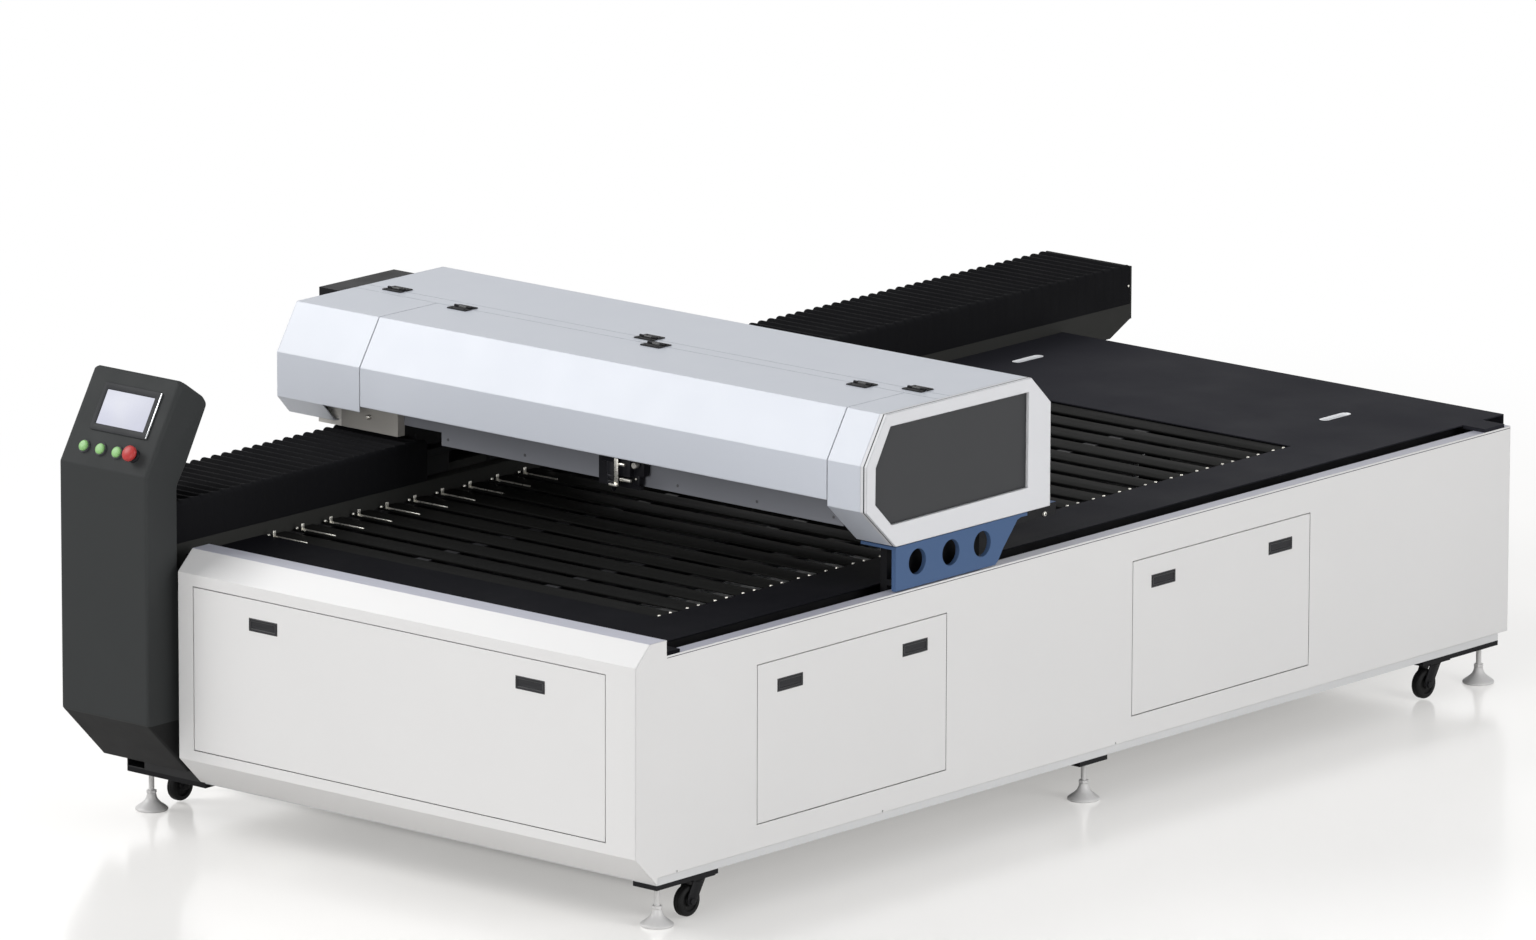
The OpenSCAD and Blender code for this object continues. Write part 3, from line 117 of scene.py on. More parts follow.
def calc(tree, operation, first, second=0.0):
    # a sum, product or other function of one or two values
    return shaderNode(tree, "Math", {0: first, 1: second}, operation=operation).outputs[0]


def ramp(tree, value, start, end, low=0.0, high=1.0, kind="LINEAR"):
    # carries start to end onto low to high, and holds it beyond them
    ends = {"Value": value, "From Min": start, "From Max": end, "To Min": low, "To Max": high}
    return shaderNode(tree, "MapRange", ends, interpolation_type=kind).outputs[0]


def mixColour(tree, share, first, second, kind="MIX"):
    # a blend of two colours, each given as a tuple or as another node's output
    first, second = ((*c, 1) if isinstance(c, tuple) else c for c in (first, second))
    return shaderNode(tree, "Mix", {0: share, 6: first, 7: second}, data_type="RGBA",
                      blend_type=kind).outputs[2]


def objectPlace(tree):
    # where a point lies on the object, in metres
    return shaderNode(tree, "TexCoord").outputs["Object"]


def separated(tree, place):
    # the x, y and z of a place
    return shaderNode(tree, "SeparateXYZ", {0: place}).outputs


def seenDirectly(tree):
    # 1 for what the eye sees straight, in gloss or through glass
    path = shaderNode(tree, "LightPath").outputs
    value = path["Is Camera Ray"]
    for name in ("Is Glossy Ray", "Is Transmission Ray"):
        value = calc(tree, "MAXIMUM", value, path[name])
    return value


worldLook = dict(white=(1, 1, 1, 1), fill=(0.90, 0.94, 1.0, 1), fillStrength=0.30)


def addWorld():
    # white to the eye, in gloss and through glass, and a soft fill for everything else
    world = bpy.data.worlds.new("studio")
    bpy.context.scene.world = world
    world.use_nodes = True
    tree = world.node_tree
    tree.nodes.clear()
    backdrop = shaderNode(tree, "Background", {"Color": worldLook["white"]})
    soft = shaderNode(tree, "Background", {"Color": worldLook["fill"],
                                           "Strength": worldLook["fillStrength"]})
    mix = shaderNode(tree, "MixShader", {0: seenDirectly(tree), 1: soft.outputs[0],
                                         2: backdrop.outputs[0]})
    shaderNode(tree, "OutputWorld", {"Surface": mix.outputs[0]})


floorLook = dict(size=60.0, colour=(0.66, 0.65, 0.635, 1), roughness=0.16,
                 glow=0.39, glowColour=(1, 0.985, 0.96, 1),
                 footprint=(0.95, 1.85), fadeStart=0.7, fadeEnd=2.8,
                 darkCentre=(0.0085, 0.0375), darkHalf=(0.725, 1.4875), darkRamp=0.15)


def floorPaint():
    # a gloss paint that glows to the eye, and fades to white with its distance from the footprint
    look = floorLook
    material = bpy.data.materials.new("floorWhite")
    material.use_nodes = True
    tree = material.node_tree
    shader = tree.nodes["Principled BSDF"]
    setInputs(tree, shader, {"Base Color": look["colour"], "Roughness": look["roughness"]})
    seen = seenDirectly(tree)
    place = separated(tree, objectPlace(tree))
    depths, squares = [], []
    for k in range(2):
        fromCentre = calc(tree, "ABSOLUTE", calc(tree, "SUBTRACT", place[k], look["darkCentre"][k]))
        depths.append(calc(tree, "SUBTRACT", look["darkHalf"][k], fromCentre))
        beyond = calc(tree, "SUBTRACT", calc(tree, "ABSOLUTE", place[k]), look["footprint"][k])
        squares.append(calc(tree, "POWER", calc(tree, "MAXIMUM", beyond, 0.0), 2.0))
    # no glow under the machine, so that the floor doesn't shine up between the slats
    lit = ramp(tree, calc(tree, "MINIMUM", *depths), look["darkRamp"], 0.0, kind="SMOOTHSTEP")
    strength = calc(tree, "MULTIPLY", calc(tree, "MULTIPLY", seen, look["glow"]), lit)
    glow = shaderNode(tree, "Emission", {"Color": look["glowColour"], "Strength": strength})
    total = shaderNode(tree, "AddShader", {0: shader.outputs[0], 1: glow.outputs[0]})
    distance = calc(tree, "SQRT", calc(tree, "ADD", *squares))
    fade = ramp(tree, distance, look["fadeStart"], look["fadeEnd"], kind="SMOOTHSTEP")
    white = shaderNode(tree, "Emission")
    mix = shaderNode(tree, "MixShader", {0: calc(tree, "MULTIPLY", fade, seen),
                                         1: total.outputs[0], 2: white.outputs[0]})
    setInputs(tree, tree.nodes["Material Output"], {"Surface": mix.outputs[0]})
    return material


def addFloor():
    # a pale floor that turns into the white backdrop a little way from the machine
    half = floorLook["size"] / 2
    mesh = bpy.data.meshes.new("floor")
    mesh.from_pydata([(-half, -half, 0), (half, -half, 0), (half, half, 0), (-half, half, 0)],
                     [], [(0, 1, 2, 3)])
    floor = bpy.data.objects.new("floor", mesh)
    bpy.context.scene.collection.objects.link(floor)
    mesh.materials.append(floorPaint())


bpy.context.scene.view_settings.view_transform = "Standard"
addCamera()
for name, lamp in lamps.items():
    addLamp(name, **lamp)
addWorld()
addFloor()
print("stage: camera, lamps and floor")


# lengths below are millimetres from the cabinet's front right corner on the floor:
# x to the right, y to the rear, z up; toFrame carries them into the shared frame
corner = np.array((-983.5, 1774.81, 0.0))


def toFrame(points):
    # each point less the corner, in metres
    return (np.asarray(points, float) - corner) * mm


def noise(tree, coords, scale, detail=3.0, stretch=(1, 1, 1)):
    # a noise value on object coordinates, stretched along the axes
    mapping = shaderNode(tree, "Mapping", {"Vector": coords, "Scale": stretch})
    return shaderNode(tree, "TexNoise", {"Vector": mapping.outputs[0], "Scale": scale,
                                         "Detail": detail}).outputs["Fac"]


def spread(tree, value, low, high):
    # maps the middle of a noise, 0.3 to 0.7, onto low to high
    return ramp(tree, value, 0.3, 0.7, low, high)


def insideBox(tree, coords, low, high):
    # 1 inside a box given in the machine's millimetres; None leaves a side open
    parts = separated(tree, coords)
    value = None
    for k in range(3):
        for bound, operation in ((low[k], "GREATER_THAN"), (high[k], "LESS_THAN")):
            if bound is None:
                continue
            test = calc(tree, operation, parts[k], (bound - corner[k]) * mm)
            value = test if value is None else calc(tree, "MULTIPLY", value, test)
    return value


def makeFinish(name, colour, roughness=0.45, metallic=0.0, mottle=0.03, mottleScale=3.0,
               roughSpread=0.05, bump=0.05, bumpScale=500.0, stretch=(1, 1, 1), edge=None,
               edgeSize=0.003, edgeShare=0.6, specular=0.5, patches=(), round=0.0, fade=None):
    # a paint or metal: cloudy colour, uneven gloss, a fine surface grain, lighter edges that are
    # partly wear and partly a painted highlight, patches, boxes of another colour, among them
    # painted shade and painted reflection, and a fade, another colour towards the rear, as (colour,
    # start, end), which on the table is a painted reflection
    material = bpy.data.materials.new(name)
    material.use_nodes = True
    tree = material.node_tree
    shader = tree.nodes["Principled BSDF"]
    coords = objectPlace(tree)
    cloud = spread(tree, noise(tree, coords, mottleScale, 4.0, stretch), 1 - mottle, 1 + mottle)
    paint = colour
    # the fade changes the colour towards the rear; on the table it is a painted reflection
    if fade:
        start, end = ((y - corner[1]) * mm for y in fade[1:])
        rearward = ramp(tree, separated(tree, coords)["Y"], start, end, kind="SMOOTHSTEP")
        paint = mixColour(tree, rearward, paint, fade[0])
    for patchColour, boxes in patches:
        share = None
        for low, high in boxes:
            inside = insideBox(tree, coords, low, high)
            share = inside if share is None else calc(tree, "MAXIMUM", share, inside)
        paint = mixColour(tree, share, paint, patchColour)
    base = mixColour(tree, 1.0, paint, cloud, "MULTIPLY")
    if edge:
        # an edge is where the rounded normal leaves the true one
        bevel = shaderNode(tree, "Bevel", {"Radius": edgeSize}, samples=4)
        normal = shaderNode(tree, "NewGeometry").outputs["Normal"]
        dot = shaderNode(tree, "VectorMath", {0: bevel.outputs[0], 1: normal},
                         operation="DOT_PRODUCT")
        # the edge colour mixed in here is partly wear and partly a painted highlight on the edges
        wornAndHighlit = ramp(tree, dot.outputs["Value"], 0.995, 0.88, 0.0, edgeShare)
        base = mixColour(tree, wornAndHighlit, base, edge)
    rough = spread(tree, noise(tree, coords, mottleScale * 4, 3.0, stretch),
                   roughness - roughSpread, roughness + roughSpread)
    grain = shaderNode(tree, "Bump", {"Strength": bump, "Distance": 0.001,
                                      "Height": noise(tree, coords, bumpScale, 2.0, stretch)})
    if round:
        # rounds the folds of the sheet
        bevel = shaderNode(tree, "Bevel", {"Radius": round}, samples=4)
        setInputs(tree, grain, {"Normal": bevel.outputs[0]})
    setInputs(tree, shader, {"Base Color": base, "Metallic": metallic, "Roughness": rough,
                             "Specular IOR Level": specular, "Normal": grain.outputs[0]})
    return material


black = (0.006, 0.006, 0.007)
softBlack = (0.028, 0.028, 0.030)
plateGrey = (0.022, 0.022, 0.027)
# painted shade: the inner faces of the panels are near black for the shade inside the cabinet
inside = (0.025, 0.025, 0.027)
# painted shade and reflection: the upward-facing flanges of the white paint, coloured lilac grey
lilacShadeReflection = (0.42, 0.42, 0.48)
paleLilacShadeReflection = (0.56, 0.56, 0.63)
whitePaint = dict(colour=(0.715, 0.705, 0.695), roughness=0.34, mottle=0.008, bump=0.03,
                  round=0.003, specular=0.5, roughSpread=0.02)
gantryWhite = dict(colour=(0.62, 0.645, 0.70), roughness=0.36, mottle=0.006, bump=0.02, round=0.004,
                   specular=0.5, roughSpread=0.02)
everything = (None, None, None)   # a patch's corner without bounds
# the middles of the paddle latches, along each door's face and up, and the black round them
latches = dict(front=(-1177.0, -328.0), frontZ=552.0,
               side=(546.0, 999.0, 1930.0, 2383.0), sideZ=511.0, reach=(46, 16))
along, up = latches["reach"]
frontLatches = [((x - along, -5, latches["frontZ"] - up), (x + along, 20, latches["frontZ"] + up))
                for x in latches["front"]]
sideLatches = [((-20, y - along, latches["sideZ"] - up), (5, y + along, latches["sideZ"] + up))
               for y in latches["side"]]
looks = dict(
    # the inner faces darkened: painted shade inside the cabinet
    panelPaint=dict(patches=[(inside, [((-1698.9, 110, 130), (-1.1, 3298.9, 648))])], **whitePaint),
    # the front cover's top flange in pale lilac: painted shade and reflection
    coverPaint=dict(patches=[(paleLilacShadeReflection, [((None, 50.5, 657), everything)])], **whitePaint),
    # the ledge, the side panel's top flange, in lilac: painted shade and reflection
    sidePaint=dict(patches=[(lilacShadeReflection, [((None, 109, 650.4), (-0.4, None, None))]),
                            # the inner faces darkened: painted shade inside the cabinet
                            (inside, [((None, 110, 130), (-1.1, None, 648))])], **whitePaint),
    frontDoorPaint=dict(patches=[(softBlack, frontLatches)], **whitePaint),
    sideDoorPaint=dict(patches=[(softBlack, sideLatches)], **whitePaint),
    gantryPaint=gantryWhite,
    lidPaint=dict(patches=[(black, [((None, None, 1095.05), everything)])], **gantryWhite),
    endPaint=dict(colour=(0.70, 0.70, 0.715), roughness=0.40, mottle=0.006, bump=0.02, round=0.004,
        specular=0.25,
        patches=[((0.034, 0.035, 0.037), [((-6.5, None, None), (-2.8, None, None))])]),
    framePaint=dict(colour=(0.62, 0.62, 0.62), roughness=0.45, mottle=0.02, bump=0.08, specular=0.3,
        patches=[(black, [((None, None, 200), everything), (everything, (-1440, 150, None))])]),
    # lighter towards the rear through the fade: a painted reflection of the white backdrop at
    # grazing angles
    tablePaint=dict(colour=(0.0045, 0.0045, 0.006), roughness=0.6, mottle=0.10, mottleScale=1.2,
        bump=0.06, specular=0.02, round=0.0015, fade=(plateGrey, 900, 2700)),
    platePaint=dict(colour=plateGrey, roughness=0.6, mottle=0.06, mottleScale=1.2, bump=0.06,
        specular=0.02, round=0.0015),
    slatPaint=dict(colour=(0.010, 0.010, 0.0095), roughness=0.55, mottle=0.2, mottleScale=5.0,
        stretch=(0.25, 2, 2), bump=0.08, specular=0.02),
    beamPaint=dict(colour=(0.195, 0.20, 0.22), roughness=0.5, mottle=0.04, bump=0.06, specular=0.25,
        round=0.002),
    railPaint=dict(colour=(0.031, 0.031, 0.029), roughness=0.6, mottle=0.06, bump=0.06,
        specular=0.08, round=0.002),
    columnPaint=dict(colour=(0.040, 0.042, 0.042), roughness=0.6, mottle=0.02, bump=0.08,
        bumpScale=900.0, specular=0.08,
        # painted shade: the column's lower part, under its downward-facing chamfer, is darker
        patches=[((0.018, 0.018, 0.018), [(everything, (None, 70, 272))])]),
    # the lighter edge colour is partly wear and partly a painted edge highlight
    blackPaint=dict(colour=black, roughness=0.5, mottle=0.08, bump=0.08, specular=0.12,
        edge=(0.03, 0.03, 0.03), edgeSize=0.001),
    bellowsCloth=dict(colour=(0.0075, 0.0075, 0.0085), roughness=0.7, mottle=0.10, bump=0.2,
        bumpScale=1200.0, specular=0.04),
    latchPlastic=dict(colour=softBlack, roughness=0.5, mottle=0.04, bump=0.12, bumpScale=1500.0,
        specular=0.12),
    bluePaint=dict(colour=(0.065, 0.115, 0.225), roughness=0.5, mottle=0.03, bump=0.06,
        specular=0.15, round=0.002, patches=[(black, [(everything, (-14.5, None, 757.6))])]),
    # painted light and shade: the plate is brownish grey where it lies in shadow and beige at its
    # lit left end, and the stand behind it, past y 901, is black for the shade there
    bracketLitAndShaded=dict(colour=(0.40, 0.38, 0.35), roughness=0.5, mottle=0.05, bump=0.08, round=0.003,
        specular=0.2,
        patches=[((0.80, 0.77, 0.72), [((None, None, 806), (-1731, 901, None))]),
                 (black, [((None, 901, None), everything)])]),
    steel=dict(colour=(0.56, 0.57, 0.58), roughness=0.28, metallic=1.0, mottle=0.05,
        stretch=(6, 0.4, 6), mottleScale=20.0, bump=0.06),
    bezelChrome=dict(colour=(0.045, 0.045, 0.05), roughness=0.4, mottle=0.05, mottleScale=40.0,
        specular=0.3),
    zinc=dict(colour=(0.50, 0.50, 0.48), roughness=0.38, metallic=1.0, mottle=0.12,
        mottleScale=30.0),
    brightZinc=dict(colour=(0.72, 0.70, 0.64), roughness=0.30, metallic=0.8, mottle=0.15,
        mottleScale=40.0),
    softMetal=dict(colour=(0.10, 0.10, 0.105), roughness=0.45, mottle=0.05, mottleScale=30.0,
        specular=0.3),
    # painted shade: the trays are near black, so that the view down between the slats stays dark
    trayShadeBlack=dict(colour=(0.008, 0.008, 0.009), roughness=0.6, mottle=0.2, mottleScale=6.0,
        specular=0.05),
    aluminium=dict(colour=(0.60, 0.60, 0.61), roughness=0.35, metallic=1.0, mottle=0.04,
        stretch=(1, 1, 8), mottleScale=12.0, bump=0.08),
    footPaint=dict(colour=(0.60, 0.59, 0.58), roughness=0.4, mottle=0.04, bump=0.08),
    tyreRubber=dict(colour=(0.006, 0.006, 0.006), roughness=0.6, mottle=0.1, bump=0.2,
        bumpScale=900.0, specular=0.15),
    # the lighter edge colour is partly wear and partly a painted edge highlight
    headBlack=dict(colour=(0.006, 0.006, 0.008), roughness=0.45, mottle=0.06, bump=0.06,
        specular=0.2, edge=(0.05, 0.05, 0.06), edgeSize=0.0008),
    screenBlack=dict(colour=(0.030, 0.031, 0.033), roughness=0.5, mottle=0.03, bump=0.05,
        specular=0.1),
    seamShadow=dict(colour=(0.09, 0.09, 0.10), roughness=0.7, mottle=0.05, specular=0.1),
    cupWhite=dict(colour=(0.86, 0.86, 0.87), roughness=0.4, mottle=0.01, bump=0.02),
    buttonGreen=dict(colour=(0.24, 0.47, 0.17), roughness=0.35, mottle=0.02, bump=0.03,
        specular=0.3),
    stopRed=dict(colour=(0.42, 0.035, 0.033), roughness=0.38, mottle=0.02, bump=0.03, specular=0.3))
finishes = {name: makeFinish(name, **look) for name, look in looks.items()}


def makeGlass(name, colour, roughness, shine):
    # clear glass with faint streaks in its gloss
    material = makeFinish(name, colour, roughness, mottle=0.01, bump=0.02)
    tree = material.node_tree
    setInputs(tree, tree.nodes["Principled BSDF"], {"Transmission Weight": shine, "IOR": 1.47})
    return material


def makeLitGlass():
    # the lit pane: a pale glow whose tint turns a little bluer in soft clouds, with a faint gloss
    # over it
    material = makeFinish("litGlass", (0.12, 0.12, 0.14), 0.3, mottle=0.02, mottleScale=8.0,
                          bump=0.01, specular=0.1)
    tree = material.node_tree
    share = spread(tree, noise(tree, objectPlace(tree), 6.0, 2.0), 0, 1)
    glow = mixColour(tree, share, (0.82, 0.84, 1.0), (0.90, 0.92, 1.0))
    setInputs(tree, tree.nodes["Principled BSDF"], {"Emission Color": glow,
                                                    "Emission Strength": 0.62})
    return material


finishes["tubeGlass"] = makeGlass("tubeGlass", (0.90, 0.95, 0.97), 0.06, 0.9)
finishes["innerGlass"] = makeGlass("innerGlass", (0.80, 0.86, 0.95), 0.10, 0.7)
finishes["litGlass"] = makeLitGlass()


def setFinish(piece, name):
    # one finish for the whole piece
    piece.data.materials.clear()
    piece.data.materials.append(finishes[name])


finishNodes = dict(
    framePaint="base_frame",
    coverPaint="front_cover",
    sidePaint="right_side_panel",
    panelPaint="left_side_panel rear_panel",
    tablePaint="table_sheets",
    platePaint="rear_table_plate",
    slatPaint="slats",
    trayShadeBlack="scrap_trays",
    railPaint="rail_beam linear_rails",
    bellowsCloth="bellows_front bellows_rear",
    blackPaint="corner_plates tail_cover lid_hinges",
    footPaint="levelling_feet",
    columnPaint="control_column",
    steel="screen drive_screw laser_tube",
    zinc="power_supply door_hinges",
    headBlack="gantry_drive tube_mounts head_carriage head_drive",
    frontDoorPaint="front_door",
    sideDoorPaint="side_door_front side_door_rear",
    stopRed="emergency_stop",
    beamPaint="gantry_beam",
    gantryPaint="end_caps cover_spine",
    endPaint="right_end_panel",
    bluePaint="right_bracket",
    bracketLitAndShaded="left_bracket",
    lidPaint="front_lid rear_lid",
    aluminium="laser_head focus_tube drive_pulley idler_pulley")
startFinish = dict(front_paddle="latchPlastic", side_paddle="latchPlastic", button="buttonGreen",
                   fork="blackPaint", wheel="tyreRubber")
nodeFinish = {key: finish for finish, keys in finishNodes.items() for key in keys.split()}
for key in nodes:
    for start, finish in startFinish.items():
        if key.startswith(start):
            nodeFinish[key] = finish
for key, finish in nodeFinish.items():
    setFinish(nodes[key], finish)
print("stage: finishes")


# where a shape's own x, y and z point, one row each
standingAxes = np.eye(3)
alongX = np.array(((0, 1, 0), (0, 0, 1), (1, 0, 0)), float)
towardsFront = np.array(((1, 0, 0), (0, 0, 1), (0, -1, 0)), float)
towardsRear = np.array(((1, 0, 0), (0, 0, 1), (0, 1, 0)), float)


def gridFaces(rows, columns, closed=True):
    # four-sided faces between the neighbours of a rows-by-columns grid;
    # closed joins the last column to the first
    r = np.arange(rows - 1)[:, None]
    c = np.arange(columns if closed else columns - 1)[None, :]
    n = (c + 1) % columns
    quads = np.stack([r * columns + c, r * columns + n,
                      (r + 1) * columns + n, (r + 1) * columns + c], -1)
    return quads.reshape(-1, 4)


def shapeOf(grid, closed=True, caps=False):
    # a grid of points (rows, columns, 3) as (points, faces); caps closes the first and the last row
    rows, columns = grid.shape[:2]
    faces = [gridFaces(rows, columns, closed)]
    if caps:
        faces.append(np.arange(columns)[None, ::-1])
        faces.append(np.arange(columns)[None, :] + (rows - 1) * columns)
    return grid.reshape(-1, 3), faces


def joined(shapes):
    # several shapes as one
    points, faces, start = [], [], 0
    for somePoints, someFaces in shapes:
        points.append(somePoints)
        faces += [f + start for f in someFaces]
        start += len(somePoints)
    return np.concatenate(points), faces


def repeated(shape, offsets):
    # the same shape at each offset
    points, faces = shape
    offsets = np.asarray(offsets, float)
    step = np.arange(len(offsets)) * len(points)
    many = (points[None] + offsets[:, None]).reshape(-1, 3)
    return many, [(f[None] + step[:, None, None]).reshape(-1, f.shape[1]) for f in faces]


def turned(shape, axes, place):
    # local coordinates along three axes, moved to place
    points, faces = shape
    return points @ np.asarray(axes, float) + np.asarray(place, float), faces


def roundedBox(low, high, radius=1.0, steps=2):
    # box with rounded edges: each direction, times the radius, is added to the nearest corner of
    # an inner box; the angles at every quarter turn come twice, which opens the flat sides
    low, high = np.array(low, float), np.array(high, float)
    middle, half = (low + high) / 2, (high - low) / 2
    radius = min(radius, half.min() * 0.98)
    quarter = np.linspace(0, np.pi / 2, steps + 1)
    around = np.concatenate([quarter + k * np.pi / 2 for k in range(4)])
    signX = np.repeat((1, -1, -1, 1), steps + 1)
    signY = np.repeat((1, 1, -1, -1), steps + 1)
    rise = np.concatenate([quarter - np.pi / 2, quarter])
    signZ = np.repeat((-1, 1), steps + 1)
    inner = half - radius
    x = np.cos(rise)[:, None] * np.cos(around) * radius + signX * inner[0]
    y = np.cos(rise)[:, None] * np.sin(around) * radius + signY * inner[1]
    z = np.sin(rise)[:, None] * radius + signZ[:, None] * inner[2] + 0 * around
    grid = np.stack([x, y, z], -1) + middle
    points, faces = shapeOf(grid)
    columns = len(around)
    ends = np.arange(4) * (steps + 1)
    faces.append(ends[None, ::-1])
    faces.append(ends[None, :] + (len(rise) - 1) * columns)
    return points, faces


def turnedProfile(profile, place, axes=standingAxes, steps=32, flutes=0, fluteDepth=0.0,
                  fluteBand=(0, 0)):
    # a profile of (radius, height) carried round an axis; flutes let the radius swell and shrink
    # as a cosine of the angle, within a band of heights
    profile = np.array(profile, float)
    angle = np.arange(steps) * 2 * np.pi / steps
    radius = np.repeat(profile[:, :1], steps, 1)
    if flutes:
        inBand = (profile[:, 1] > fluteBand[0]) & (profile[:, 1] < fluteBand[1])
        radius = radius - inBand[:, None] * fluteDepth * (0.5 - 0.5 * np.cos(flutes * angle))
    local = np.stack([radius * np.cos(angle), radius * np.sin(angle),
                      np.repeat(profile[:, 1:], steps, 1)], -1)
    return turned(shapeOf(local), axes, place)


def rod(radius, start, end, rounding=0.5, steps=16, axes=standingAxes, place=(0, 0, 0), **flutes):
    # round bar from height start to end with chamfered ends
    profile = [(0, start), (radius - rounding, start), (radius, start + rounding),
               (radius, end - rounding), (radius - rounding, end), (0, end)]
    return turnedProfile(profile, place, axes, steps, **flutes)


def hexHead(size, start, end, place, axes=standingAxes):
    # hexagon with a chamfered top: a profile carried round six corners
    profile = [(0, start), (size, start), (size, end - 1), (size * 0.9, end), (0, end)]
    return turnedProfile(profile, place, axes, 6)


def outlineNormals(outline):
    # for each corner of a closed outline, the offset that moves both of its sides outwards by one
    before = outline - np.roll(outline, 1, 0)
    after = np.roll(outline, -1, 0) - outline
    before /= np.linalg.norm(before, axis=1, keepdims=True)
    after /= np.linalg.norm(after, axis=1, keepdims=True)
    n1 = np.stack([before[:, 1], -before[:, 0]], -1)
    n2 = np.stack([after[:, 1], -after[:, 0]], -1)
    return (n1 + n2) / (1 + (n1 * n2).sum(1, keepdims=True))


def filletedPlate(outline, low, high, radius, axes, steps=4):
    # an outline (counter-clockwise) carried from low to high; near both ends it shrinks along a
    # quarter circle, so the edges are rounded by the radius, which may differ between corners
    outline = np.array(outline, float)
    radius = np.broadcast_to(np.asarray(radius, float), (len(outline),))
    normals = outlineNormals(outline)
    angle = np.linspace(0, np.pi / 2, steps + 1)
    inset = (1 - np.sin(angle))[:, None] * radius
    rise = (1 - np.cos(angle))[:, None] * radius
    depth = np.concatenate([low + rise, (high - rise)[::-1]])
    inset = np.concatenate([inset, inset[::-1]])
    flat = outline - inset[..., None] * normals
    grid = np.concatenate([flat, depth[..., None]], -1)
    return turned(shapeOf(grid, caps=True), axes, (0, 0, 0))


def roundedCorners(corners, radii, steps=5):
    # an outline whose corners are replaced by arcs of the given radii
    corners = np.array(corners, float)
    radii = np.broadcast_to(np.asarray(radii, float), (len(corners),))
    out = []
    for k, radius in enumerate(radii):
        here, before, after = corners[k], corners[k - 1], corners[(k + 1) % len(corners)]
        if radius <= 0:
            out.append(here[None])
            continue
        a = (before - here) / np.linalg.norm(before - here)
        b = (after - here) / np.linalg.norm(after - here)
        half = np.arccos(np.clip(a @ b, -1, 1)) / 2
        middle = here + (a + b) / np.linalg.norm(a + b) * radius / np.sin(half)
        first = here + a * radius / np.tan(half) - middle
        last = here + b * radius / np.tan(half) - middle
        turn = np.arctan2(first[0] * last[1] - first[1] * last[0], first @ last)
        angle = np.linspace(0, turn, steps + 1)
        out.append(middle + np.stack([first[0] * np.cos(angle) - first[1] * np.sin(angle),
                                      first[0] * np.sin(angle) + first[1] * np.cos(angle)], -1))
    return np.concatenate(out)


def raised(outline, height):
    # an outline's points (x, y) at one height
    return np.concatenate([outline, np.full((len(outline), 1), height)], -1)


def stadium(halfLength, radius, steps=12):
    # outline of a slot along y
    angle = np.linspace(0, np.pi, steps + 1)
    top = np.stack([radius * np.cos(angle), radius * np.sin(angle) + halfLength], -1)
    return np.concatenate([top, -top])


def addPiece(name, shape, finish, body, replaces=(), sharp=40, blend=None):
    # makes the mesh, merges seams and poles, points the faces outwards, and hangs it on its body;
    # given a blend, it only bakes its place into the mesh and hangs it on nothing
    points, faces = shape
    mesh = bpy.data.meshes.new(name)
    loops = np.concatenate([f.ravel() for f in faces])
    totals = np.concatenate([np.full(len(f), f.shape[1]) for f in faces])
    mesh.vertices.add(len(points))
    mesh.vertices.foreach_set("co", toFrame(points).astype(np.float32).ravel())
    mesh.loops.add(len(loops))
    mesh.loops.foreach_set("vertex_index", loops.astype(np.int32))
    mesh.polygons.add(len(totals))
    mesh.polygons.foreach_set("loop_start", (np.cumsum(totals) - totals).astype(np.int32))
    mesh.update(calc_edges=True)
    mesh.validate()
    work = bmesh.new()
    work.from_mesh(mesh)
    bmesh.ops.remove_doubles(work, verts=work.verts, dist=2e-6)
    bmesh.ops.recalc_face_normals(work, faces=work.faces)
    work.to_mesh(mesh)
    work.free()
    mesh.shade_smooth()
    mesh.set_sharp_from_angle(angle=math.radians(sharp))
    mesh.materials.append(finishes[finish])
    piece = bpy.data.objects.new(name, mesh)
    bpy.context.scene.collection.objects.link(piece)
    if blend:
        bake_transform(piece)
    else:
        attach(piece, body)
    if replaces:
        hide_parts(*replaces)
    return piece


bellows = dict(left=-1786.0, right=-1502.0, low=694.4, top=799.0, round=14.0, pitch=36.0,
               depth=10.0, steep=0.16, shares=(0.3, 1.0, 0.25, 0.03), wall=2.5,
               front=(24.5, 935.5), rear=(1294.5, 3635.5))


